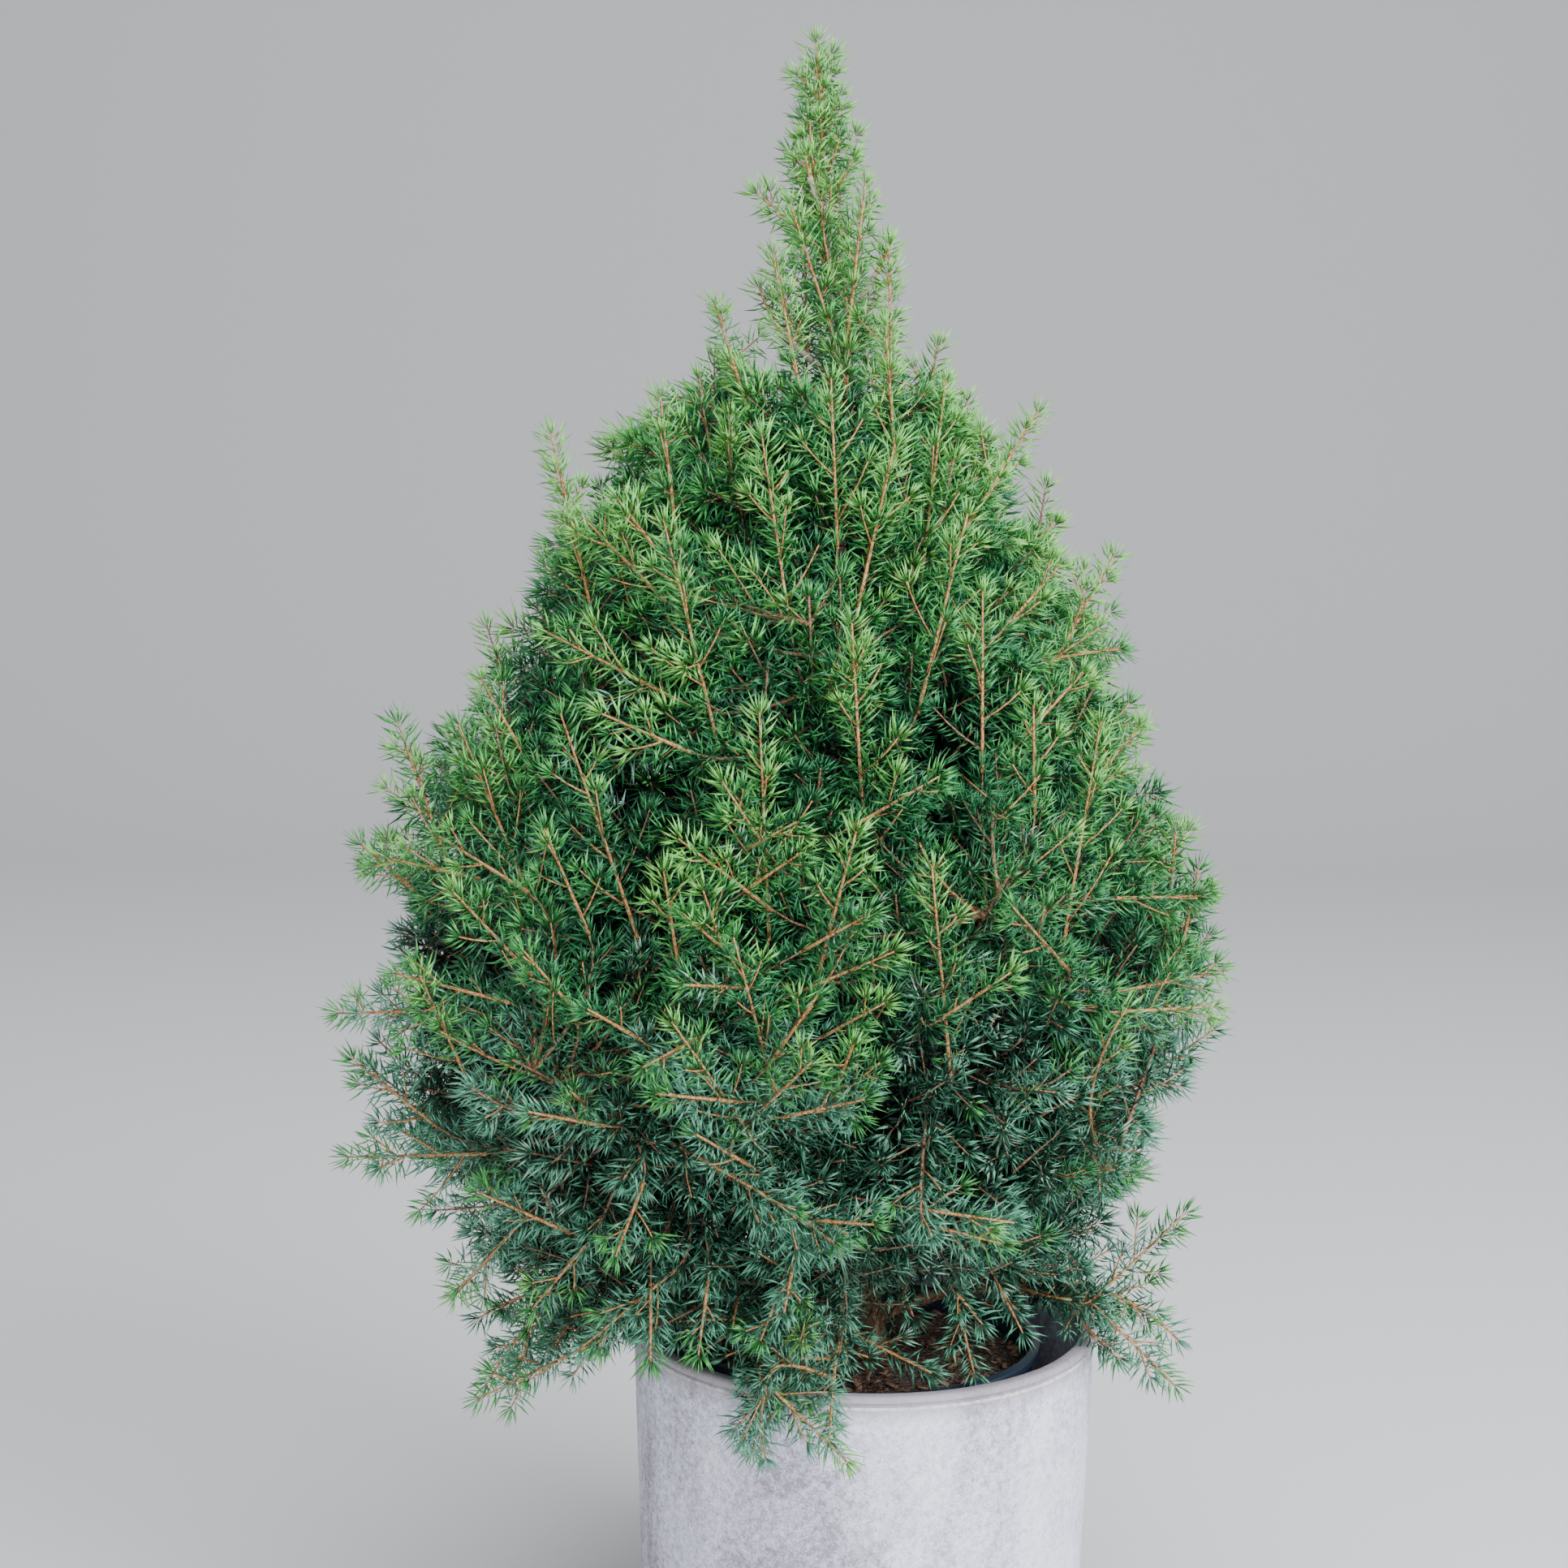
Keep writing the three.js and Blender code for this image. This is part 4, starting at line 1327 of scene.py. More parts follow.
@dataclass
class Crown:
    """The crown's twigs and needles, grown on from the boughs by the source's rule, in mm."""

    rule: CrownRule
    dealing: TintRule = TintRule()
    seed: int = 5
    # Long shoots, and the skirt of them round the crown's foot
    long_shoots: int = 330
    long_foot_r: float = 1.1
    seen_foot_r: float = 1.15
    link_foot_r: float = 1.3
    long_tip_r: float = 0.5
    bough_tip_r: float = 0.6
    skirt_shoots: int = 96
    skirt_heights: tuple = (232, 300)
    skirt_reach: tuple = (0.6, 0.95)
    # The spire's shoots, and the twigs in the inner shade
    spire_shoots: int = 30
    spire_foot_r: float = 0.8
    spire_heights: tuple = (806, 893)
    spire_lengths: tuple = (36, 9)
    spire_lean: float = 40
    inner_shoots: int = 3000
    inner_foot_r: float = 0.9
    inner_reach: float = 262
    inner_squares: tuple = (0.04, 0.64)
    inner_length: float = 38
    inner_heights: tuple = (258, 752)
    inner_least_depth: float = 15
    inner_needle_share: float = 1.35
    # Where long shoots' tips stand
    lowest_tip: float = 222
    highest_tip: float = 868
    height_scatter: float = 7
    azimuth_scatter: float = 0.08
    lean_scatter: float = 8
    aim_scatter: float = 0.3
    seen_clear: float = 24
    seen_proud: float = 3
    seen_foot_depth: float = 16
    seen_foot_slope: float = 0.2
    passing_share: float = 0.36
    proud_share: float = 0.24
    proud_reach: tuple = (0.96, 1.02)
    held_reach: tuple = (0.8, 0.93)
    lower_right_top: float = 375
    lower_right_share: float = 0.84
    left_limit: float = -266
    right_limit: float = 202
    # What hangs over the rim, and the gap through which the soil shows
    rim_hang_r: float = 152
    rim_hang_top: float = 140
    soil_hang_r: float = 102
    soil_hang_top: float = 245
    soil_hang_sides: tuple = (-35, 95)
    gap_sides: tuple = (-14, 92)
    gap_top: float = 238
    gap_back: float = 20
    hang_low: float = 126
    hang_low_left: float = 152
    hang_left_of: float = -112
    # Leans and lengths by height
    lean_heights: tuple = (200, 250, 300, 350, 400, 450, 500, 550, 650, 700, 800, 900)
    lean_angles: tuple = (108, 98, 84, 68, 52, 40, 31, 26, 18, 15, 12, 8)
    wanted_heights: tuple = (220, 400, 700, 880)
    wanted_lengths: tuple = (70, 110, 110, 45)
    # Which stretches of the boughs and the trunk bear shoots, and what counts against a place
    bearing_shares: tuple = (0.16, 0.95)
    bearing_heights: tuple = (520, 862)
    miss_unit: float = 60
    too_short: float = 30
    too_short_cost: float = 5
    bough_end_from: float = 0.54
    upper_end_to: float = 0.8
    spray_length: float = 62
    spray_spread: float = 0.66
    # Side shoots
    shoot_gap: float = 10
    shoot_room: float = 0.72
    shoot_first: float = 0.08
    shoot_span: float = 0.7
    shoot_last: float = 0.78
    shoot_of_long: float = 0.46
    shoot_longest: float = 46
    shoot_shortest: float = 11
    shoot_least: float = 7
    shoot_spread: float = 50
    shoot_lift: float = 0.12
    shoot_foot_r: float = 0.64
    room_heights: tuple = (300, 620, 720)
    rooms: tuple = (14, 10, -3)
    short_tip_r: float = 0.42
    short_needle_share: float = 0.95
    # How slim the leafy body is below the leader
    slim_heights: tuple = (720, 765, 800, 860)
    slim_shares: tuple = (1.0, 0.66, 0.52, 0.5)
    # Needles
    needle_length: float = 15.0
    needle_width: float = 0.58
    needle_gap: float = 1.06
    needle_bend: float = 0.08
    needle_leans: tuple = (76, 54)
    tuft_leans: tuple = (8, 62)
    inner_from: float = 50
    inner_over: float = 34
    inner_width: float = 4.3
    inner_gap: float = 2.8
    tuft: int = 11
    inner_tuft: int = 5
    # Twigs' skins and detail
    old_wood_depth: float = 30
    rings_long: int = 8
    rings_short: int = 4

    def grow(self) -> tuple[TwigSet, TwigSet]:
        """Grows the long shoots and the short side shoots.

        Returns:
            The long shoots and the side shoots.
        """
        rng = np.random.default_rng(self.seed)
        tips, feet = self.seen_ends()
        ways = unit(tips - feet)
        seen = self.between(feet, tips, ways, 0.4, self.seen_foot_r, rng)
        roots = self.bearers_for(feet, ways, 0.42, 0.8)
        # Each link runs a little way into the shoot that it bears
        links = self.between(roots, feet + ways * 2, ways, 0.4, self.link_foot_r, rng)
        surface, headings = self.surface_tips(rng, np.concatenate([tips, (tips + feet) / 2]))
        bearers = self.bearers_for(surface, headings, 1.0, 2.2)
        grown = self.between(bearers, surface, headings, 0.5, self.long_foot_r, rng)
        long = joined([seen, links, grown, self.bough_ends(rng), self.source_sprays(rng)])
        return long, joined([self.side_shoots(long, rng), self.spire(rng), self.inner_twigs(rng)])

    def towards_viewer(self, across: float, up: float, inset: float) -> np.ndarray:
        """Where the sight line through a place on the trunk's plane enters the crown.

        Args:
            across: the place's distance to the right.
            up: the place's height.
            inset: how far inside the crown's outline.

        Returns:
            The place in the crown.
        """
        plane = np.array([across, 0.0, up])
        line = plane + (VIEWER - plane) * np.linspace(0.2, 0, 120)[:, None]
        centre = np.array([self.rule.trunk_at(h)[0] for h in line[:, 2]])
        radius = np.hypot(line[:, 0] - centre, line[:, 1])
        limit = self.rule.reach(line[:, 2], np.arctan2(line[:, 1], line[:, 0] - centre)) - inset
        if up < self.rim_hang_top:
            limit = np.full_like(limit, self.rim_hang_r)
        elif up < self.soil_hang_top and self.soil_hang_sides[0] < across < self.soil_hang_sides[1]:
            limit = np.full_like(limit, self.soil_hang_r - inset * 0.5)
        within = radius <= limit
        if within.any():
            return line[int(np.argmax(within))]
        # A sight line that misses the crown ends a little before the trunk's plane
        near = -self.passing_share * float(self.rule.reach(up, math.pi if across < 0 else 0.0))
        return line[int(np.argmin(np.abs(line[:, 1] - near)))]

    def seen_ends(self) -> tuple[np.ndarray, np.ndarray]:
        """Sets the shoots that the photograph shows in depth, by the crown's outline.

        Returns:
            Their tips and their feet.
        """
        tips, feet = [], []
        for across, up, lean, length in SEEN_SHOOTS:
            way = math.radians(lean)
            foot = (across - length * math.sin(way), up - length * math.cos(way))
            tips.append(self.towards_viewer(across, up, -self.seen_proud))
            feet.append(self.towards_viewer(*foot, self.seen_foot_depth + length * self.seen_foot_slope))
        return np.array(tips), np.array(feet)

    def surface_tips(self, rng: np.random.Generator, taken: np.ndarray) -> tuple[np.ndarray, np.ndarray]:
        """Spreads shoot tips evenly over the crown's outline and gives each the lean of its height.

        Args:
            rng: the seeded numbers.
            taken: places that other shoots have taken.

        Returns:
            Tips and their headings, one a row.
        """
        count = self.long_shoots
        height = np.linspace(self.lowest_tip, self.highest_tip, 400)
        weight = np.cumsum(self.rule.reach(height, math.pi / 2) + 12)
        share = (np.arange(count) + 0.5) / count
        z = np.interp(share, weight / weight[-1], height) + rng.normal(0, self.height_scatter, count)
        azimuth = np.arange(count) * GOLDEN_ANGLE + rng.normal(0, self.azimuth_scatter, count)
        proud = rng.uniform(size=count) < self.proud_share
        held = np.where(proud, rng.uniform(*self.proud_reach, count), rng.uniform(*self.held_reach, count))
        reach = self.outline(z, azimuth) * held
        skirt_z = rng.uniform(*self.skirt_heights, self.skirt_shoots)
        skirt_azimuth = np.arange(self.skirt_shoots) * GOLDEN_ANGLE + 1.1
        skirt_reach = rng.uniform(*self.skirt_reach, self.skirt_shoots)
        skirt_reach = skirt_reach * self.rule.reach(skirt_z, skirt_azimuth)
        z, azimuth = np.concatenate([z, skirt_z]), np.concatenate([azimuth, skirt_azimuth])
        reach = np.concatenate([reach, skirt_reach])
        lower_right = (z < self.lower_right_top) & (np.cos(azimuth) > 0.4)
        reach = np.where(lower_right, reach * self.lower_right_share, reach)
        centre = np.array([self.rule.trunk_at(h) for h in z])
        sides = level(azimuth)
        limit = np.where(sides[:, 0] < 0, self.left_limit, self.right_limit) - centre[:, 0]
        slope = np.where(np.abs(sides[:, 0]) < 0.05, 0.05 * np.sign(limit), sides[:, 0])
        reach = np.minimum(reach, limit / slope)
        tips = centre + reach[:, None] * sides
        lean = np.interp(z, self.lean_heights, self.lean_angles) + rng.normal(0, self.lean_scatter, len(z))
        headings = leaning(np.radians(lean), azimuth + rng.normal(0, self.aim_scatter, len(z)))
        gap = np.linalg.norm(tips[:, None] - taken[None], axis=2).min(axis=1)
        keep = (gap > self.seen_clear) & ~self.over_soil(tips)
        return tips[keep], headings[keep]

    def over_wall(self, places: np.ndarray) -> np.ndarray:
        """Which places hang lower than the photograph's sprays, over the wall or beside it."""
        seen = on_trunk_plane(places)
        return seen[:, 2] < np.where(seen[:, 0] > self.hang_left_of, self.hang_low, self.hang_low_left)

    def over_soil(self, places: np.ndarray) -> np.ndarray:
        """Which places hide the gap at the front through which the soil shows.

        Args:
            places: one place a row.

        Returns:
            True for each place that hides the gap.
        """
        seen = on_trunk_plane(places)
        left, right = self.gap_sides
        before = (seen[:, 2] < self.gap_top) & (places[:, 1] < self.gap_back)
        return before & (seen[:, 0] > left) & (seen[:, 0] < right)

    def bearers_for(self, tips: np.ndarray, headings: np.ndarray, span: float,
                    turn_cost: float) -> np.ndarray:
        """The places on the boughs or the trunk that can best bear shoots.

        Args:
            tips: the shoots' tips.
            headings: the shoots' directions at their tips.
            span: how long the shoots should be, against a full shoot of their height.
            turn_cost: how much a shoot that has to turn counts against a place.

        Returns:
            One place for each shoot.
        """
        shares = np.linspace(*self.bearing_shares, 14)
        bearers = [bough.line.at(shares) for bough in self.rule.boughs[:-1]]
        bearers.append(np.array([self.rule.trunk_at(h) for h in np.linspace(*self.bearing_heights, 24)]))
        bearers = np.concatenate(bearers)
        spans = tips[:, None] - bearers[None]
        length = np.linalg.norm(spans, axis=2)
        fit = np.sum(spans * headings[:, None], axis=2) / np.maximum(length, 1)
        wanted = np.interp(tips[:, 2], self.wanted_heights, self.wanted_lengths)[:, None] * span
        cost = np.abs(length - wanted) / self.miss_unit + (1 - fit) * turn_cost
        cost = cost + np.where(length < self.too_short * span, self.too_short_cost, 0)
        return bearers[np.argmin(cost, axis=1)]

    def between(self, feet: np.ndarray, tips: np.ndarray, headings: np.ndarray, pull: float, foot_r: float,
                rng: np.random.Generator) -> TwigSet:
        """Long shoots from their feet to their tips.

        Args:
            feet: where the shoots start.
            tips: where they end.
            headings: their directions at their tips.
            pull: how strongly they bend to those directions.
            foot_r: their radius at the foot.
            rng: the seeded numbers.

        Returns:
            The shoots.
        """
        points = curved(feet, tips, headings, pull, self.rings_long) * MM
        vigour = rng.uniform(0.85, 1.1, len(points))
        return TwigSet.alike(points, foot_r, self.long_tip_r, self.needle_length, vigour)

    def bough_ends(self, rng: np.random.Generator) -> TwigSet:
        """Takes the boughs' own outer parts as long shoots that bear needles.

        Args:
            rng: the seeded numbers.

        Returns:
            The shoots.
        """
        points = []
        for bough in self.rule.boughs:
            first = 0.0 if bough.kind is BoughKind.LEADER else self.bough_end_from
            last = self.upper_end_to if bough.kind is BoughKind.UPPER else 1.0
            points.append(bough.line.at(np.linspace(first, last, self.rings_long)))
        slight = np.array([bough.kind.slight for bough in self.rule.boughs])
        foot_r = np.where(slight, LIMB_END_SLIGHT_R, LIMB_END_R)
        vigour = rng.uniform(0.9, 1.1, len(points))
        return TwigSet.alike(np.array(points) * MM, foot_r, self.bough_tip_r, self.needle_length, vigour)

    def source_sprays(self, rng: np.random.Generator) -> TwigSet:
        """Draws the source's own twigs of each mass by its rule.

        Args:
            rng: the seeded numbers.

        Returns:
            The twigs.
        """
        starts, ends, headings = [], [], []
        for bough in self.rule.boughs[:-1]:
            habit = SPRAY_HABITS[bough.kind]
            for k in range(habit.count):
                at = lerp(habit.first, habit.last, (k + 0.35) / habit.count) + bough.draws.around_nought(0.06)
                along = bough.line.heading(at)
                outer = np.cross(bough.across, along) * (bough.draws.next() * 1.6 - 0.2)
                away = unit(outer + bough.across * (1 if k % 2 else -1))
                spread = self.spray_spread * lerp(0.75, 1.25, bough.draws.next())
                heading = along * math.cos(spread) + away * math.sin(spread)
                heading[2] += habit.lift
                heading = unit(heading)
                length = self.spray_length * habit.scale * lerp(0.8, 1.2, bough.draws.next())
                centre = bough.line.at(float(at))
                starts.append(centre)
                ends.append(centre + away * habit.room + heading * length * 0.85)
                headings.append(heading)
        starts, ends, headings = np.array(starts), np.array(ends), np.array(headings)
        keep = (self.depth(ends * MM) > -2) & ~self.over_soil(ends) & ~self.over_wall(ends)
        return self.between(starts[keep], ends[keep], headings[keep], 0.45, self.long_foot_r, rng)

    def side_shoots(self, long: TwigSet, rng: np.random.Generator) -> TwigSet:
        """Grows short side shoots round each long shoot, shorter towards its tip, which stays bare of them.

        Args:
            long: the long shoots.
            rng: the seeded numbers.

        Returns:
            The side shoots.
        """
        lengths = long.lengths / MM
        counts = np.maximum((lengths * self.shoot_room / self.shoot_gap).astype(int), 1)
        owner, number = dealt(counts)
        placed = number + rng.uniform(0.2, 0.8, len(owner))
        share = self.shoot_first + self.shoot_span * placed / counts[owner]
        places, ways = long.places(owner, share)
        aside = unit(np.cross(ways, rng.normal(size=(len(lengths), 3))[owner]))
        out = around(ways, aside, number * GOLDEN_ANGLE + rng.normal(0, 0.25, len(owner)))
        spread = np.radians(rng.normal(self.shoot_spread, 7, len(owner)))[:, None]
        start_way = ways * np.cos(spread) + out * np.sin(spread)
        tip_way = unit(start_way + ways * 0.35 + np.array([0, 0, self.shoot_lift]))
        full = np.minimum(self.shoot_longest, lengths[owner] * self.shoot_of_long)
        size = lerp(full, self.shoot_shortest, share / self.shoot_last)
        size = size * rng.uniform(0.7, 1.15, len(owner)) * MM
        middle_way = unit(start_way + tip_way)
        ends = places + middle_way * size[:, None]
        # A shoot that would stand far out of the crown is shortened, all the more below the leader
        room = np.interp(ends[:, 2] / MM, self.room_heights, self.rooms)
        size = np.maximum(size - np.clip(-self.depth(ends) - room, 0, None) * 1.1 * MM, self.shoot_least * MM)
        ends = places + middle_way * size[:, None]
        keep = (ends[:, 0] > (self.left_limit - 6) * MM) & (ends[:, 0] < (self.right_limit + 4) * MM)
        keep &= ~self.over_soil(ends / MM) | (self.over_soil(places / MM) & (number % 2 == 0))
        keep &= ~self.over_wall(ends / MM)
        points = curved(places, ends, tip_way, 0.5, self.rings_short)[keep]
        return self.short_set(points, self.shoot_foot_r, rng)

    def short_set(self, points: np.ndarray, foot_r: float, rng: np.random.Generator) -> TwigSet:
        """Short twigs along points in metres, with a radius at the foot in mm."""
        needle_mm = self.needle_length * self.short_needle_share
        return TwigSet.alike(points, foot_r, self.short_tip_r, needle_mm, rng.uniform(0.8, 1.1, len(points)))

    def spire(self, rng: np.random.Generator) -> TwigSet:
        """Clothes the trunk's top and the leader with short shoots, shorter towards the tip.

        Args:
            rng: the seeded numbers.

        Returns:
            The shoots.
        """
        count = self.spire_shoots
        up = (np.arange(count) + 0.5) / count
        starts = np.array([self.rule.trunk_at(h) for h in lerp(*self.spire_heights, up)])
        lean = np.radians(self.spire_lean + rng.normal(0, 5, count))
        headings = leaning(lean, np.arange(count) * GOLDEN_ANGLE)
        ends = starts + headings * (lerp(*self.spire_lengths, up) * rng.uniform(0.8, 1.1, count))[:, None]
        points = curved(starts, ends, unit(headings + np.array([0, 0, 0.5])), 0.4, self.rings_short) * MM
        return self.short_set(points, self.spire_foot_r, rng)

    def inner_twigs(self, rng: np.random.Generator) -> TwigSet:
        """Fills the shade inside the crown evenly with twigs, so that its middle is closed to the eye.

        Args:
            rng: the seeded numbers.

        Returns:
            The twigs.
        """
        # Three steps that never fall in with each other fill the room without clumps or gaps
        steps = np.array([0.8191725, 0.6710436, 0.5497005])
        turns, rises, shares = (np.arange(self.inner_shoots)[:, None] * steps % 1).T
        z = lerp(*self.inner_heights, rises)
        azimuth = turns * 2 * math.pi
        radius = np.minimum(self.rule.reach(z, azimuth), self.inner_reach)
        radius = radius * np.sqrt(lerp(*self.inner_squares, shares))
        sides = level(azimuth)
        starts = np.array([self.rule.trunk_at(h) for h in z]) + radius[:, None] * sides
        headings = unit(sides + rng.normal(0, 0.5, (self.inner_shoots, 3)) + np.array([0, 0, 0.5]))
        ends = starts + headings * self.inner_length * rng.uniform(0.7, 1.2, (self.inner_shoots, 1))
        keep = ~self.over_soil(ends) & (self.depth(ends * MM) > self.inner_least_depth)
        points = curved(starts, ends, headings, 0.4, self.rings_short)[keep] * MM
        twigs = self.short_set(points, self.inner_foot_r, rng)
        twigs.needle_mm *= self.inner_needle_share
        return twigs

    def depth(self, places: np.ndarray) -> np.ndarray:
        """How deep places lie inside the crown's outline.

        Args:
            places: one place a row, in metres.

        Returns:
            Each place's depth in mm.
        """
        z = places[:, 2] / MM
        share = (z - self.rule.soil_top) / self.rule.lean_span
        x = places[:, 0] / MM - (self.rule.foot_x + self.rule.lean_x * share)
        y = places[:, 1] / MM
        return self.outline(z, np.arctan2(y, x)) - np.hypot(x, y)

    def shade(self, places: np.ndarray) -> np.ndarray:
        """How deep places in metres lie in the crown's shade, from its side or its open underside, in mm."""
        return np.minimum(self.depth(places), np.clip(places[:, 2] / MM - self.rule.soil_top, 0, None) * 0.5)

    def outline(self, height: np.ndarray, azimuth: np.ndarray) -> np.ndarray:
        """How far the leafy body reaches, which is slimmer below the leader than its single shoots."""
        return self.rule.reach(height, azimuth) * np.interp(height, self.slim_heights, self.slim_shares)

    def needles(self, twigs: TwigSet, rng: np.random.Generator) -> tuple[np.ndarray, np.ndarray]:
        """Grows needles round twigs, standing forward, and closing to a tuft at each tip.

        Inside the crown they are fewer and wider.

        Args:
            twigs: the twigs that bear them.
            rng: the seeded numbers.

        Returns:
            Corners, four a needle, and each needle's tint number.
        """
        lengths = twigs.lengths / MM
        inner = np.clip((self.shade(twigs.points[:, -1]) - self.inner_from) / self.inner_over, 0, 1)
        gap = lerp(self.needle_gap, self.inner_gap, inner)
        tuft = lerp(self.tuft, self.inner_tuft, inner).astype(int)
        counts = np.maximum((lengths / gap).astype(int), 6) + tuft
        owner, number = dealt(counts)
        body = (counts - tuft)[owner]
        tufted = number >= body
        share = np.where(tufted, 0.985, 0.04 + 0.94 * (number + 0.5) / body)
        roots, ways = twigs.places(owner, share)
        aside = unit(np.cross(ways, OBLIQUE))
        out = around(ways, aside, number * GOLDEN_ANGLE + rng.normal(0, 0.3, len(owner)))
        spread = np.radians(lerp(*self.needle_leans, share) + rng.normal(0, 11, len(owner)))
        spread = np.where(tufted, np.radians(rng.uniform(*self.tuft_leans, len(owner))), spread)[:, None]
        needle_ways = unit(ways * np.cos(spread) + out * np.sin(spread))
        size = twigs.needle_mm[owner] * rng.uniform(0.78, 1.08, len(owner)) * twigs.vigour[owner] ** 0.5
        size = size * np.where(tufted, 0.84, 1.0) * np.where(share < 0.2, 0.85, 1.0) * MM
        width = lerp(self.needle_width, self.inner_width, inner)[owner] * MM
        corners, _ = slivers(roots, needle_ways, size, width, rng, self.needle_bend, ways)
        return corners, self.tints(twigs, owner, share, roots, rng)

    def tints(self, twigs: TwigSet, owner: np.ndarray, share: np.ndarray, roots: np.ndarray,
              rng: np.random.Generator) -> np.ndarray:
        """Deals a tint to each spray's needles, by height, depth in the crown and nearness to its tip.

        Args:
            twigs: the twigs.
            owner: which twig each needle is on.
            share: how far along the twig each needle is.
            roots: where each needle starts.
            rng: the seeded numbers.

        Returns:
            The number of each needle's tint.
        """
        deal = self.dealing
        tips = twigs.points[:, -1]
        sun = np.clip((tips[:, 2] / MM - deal.sun_from) / deal.sun_over, 0, 1)
        deep = np.clip(self.shade(tips) / deal.deep_over, 0, 1)
        luck = rng.normal(0, deal.luck, len(tips))
        frosted = (rng.uniform(size=len(tips)) < lerp(*deal.frosted_shares, sun))[owner]
        # Painted light and shade: a spray's value rises with its height, where more light falls, and drops
        # with its depth in the shade and its needles' depth at the root; the lift at the tip is this year's
        # paler growth
        value = (deal.base + deal.sun_gain * sun - deal.deep_loss * deep + luck)[owner]
        value = value + np.where(share > deal.tip_from, deal.tip_gain, 0.0)
        value = value - deal.root_loss * np.clip(self.shade(roots) / deal.root_over, 0, 1)
        low = (sun < deal.low_sun)[owner]
        order = list(Tint)
        tint = np.full(len(owner), order.index(Tint.BRIGHT))
        for below, kind, low_only in deal.steps:
            tint[(value < below) & (low | (not low_only))] = order.index(kind)
        dullest, clearest = deal.frosted_values
        tint[(value > dullest) & (value < clearest) & frosted] = order.index(Tint.BLOOM)
        return tint

    def build_needles(self, sets: list[TwigSet]) -> list[tuple[bpy.types.Object, Tint]]:
        """Makes the needle pieces, one or more of each tint.

        Args:
            sets: the twigs that bear needles.

        Returns:
            Each piece with its tint.
        """
        rng = np.random.default_rng(self.seed + 1)
        grown = [self.needles(twigs, rng) for twigs in sets]
        corners = np.concatenate([points.reshape(-1, 4, 3) for points, _ in grown])
        tint = np.concatenate([numbers for _, numbers in grown])
        pieces = []
        for number, kind in enumerate(Tint):
            chosen = corners[tint == number]
            chosen = chosen[np.argsort(chosen[:, 0, 2], kind="stable")]
            parts = max(1, math.ceil(len(chosen) * len(SLIVER_FACES) / PIECE_TRIANGLES))
            for k, part in enumerate(np.array_split(chosen, parts)):
                if len(part) == 0:
                    continue
                triangles = repeated(SLIVER_FACES, len(part), 4)
                piece = joined_mesh(f"{kind.value.name}_{k + 1}", part.reshape(-1, 3), triangles)
                pieces.append((piece, kind))
        return pieces

    def build_twigs(self, long: TwigSet, short: TwigSet) -> list[tuple[bpy.types.Object, TwigAge]]:
        """Makes the twig pieces: young shoots near the outline and old wood inside.

        Args:
            long: the long shoots.
            short: the side shoots.

        Returns:
            Each piece with its age.
        """
        pieces = []
        for label, twigs, sides in (("long", long, 4), ("side", short, 3)):
            inside = self.shade(twigs.points[:, len(twigs.points[0]) // 2]) > self.old_wood_depth
            for age, chosen in ((TwigAge.YOUNG, ~inside), (TwigAge.OLD, inside)):
                corners, triangles = twigs.tubes(np.nonzero(chosen)[0], sides)
                pieces.append((joined_mesh(f"{label}_{age.value.name}", corners, triangles), age))
        return pieces

    @staticmethod
    def dress_twigs(pieces: list[tuple[bpy.types.Object, TwigAge]]) -> None:
        """Gives each twig piece the skin of its age.

        Args:
            pieces: each piece with its age.
        """
        skins = {age: age.value.build() for age in TwigAge}
        for piece, age in pieces:
            clad(piece, skins[age], "bark")

    @staticmethod
    def dress_needles(pieces: list[tuple[bpy.types.Object, Tint]]) -> None:
        """Gives each needle piece its tint, in the place of the CAD model's masses of foliage.

        Args:
            pieces: each piece with its tint.
        """
        foliage_nodes = [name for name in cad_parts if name.startswith("foliage_")]
        tints = {tint: tint.value.build() for tint in Tint}
        for piece, tint in pieces:
            clad(piece, tints[tint], "needles", *foliage_nodes)


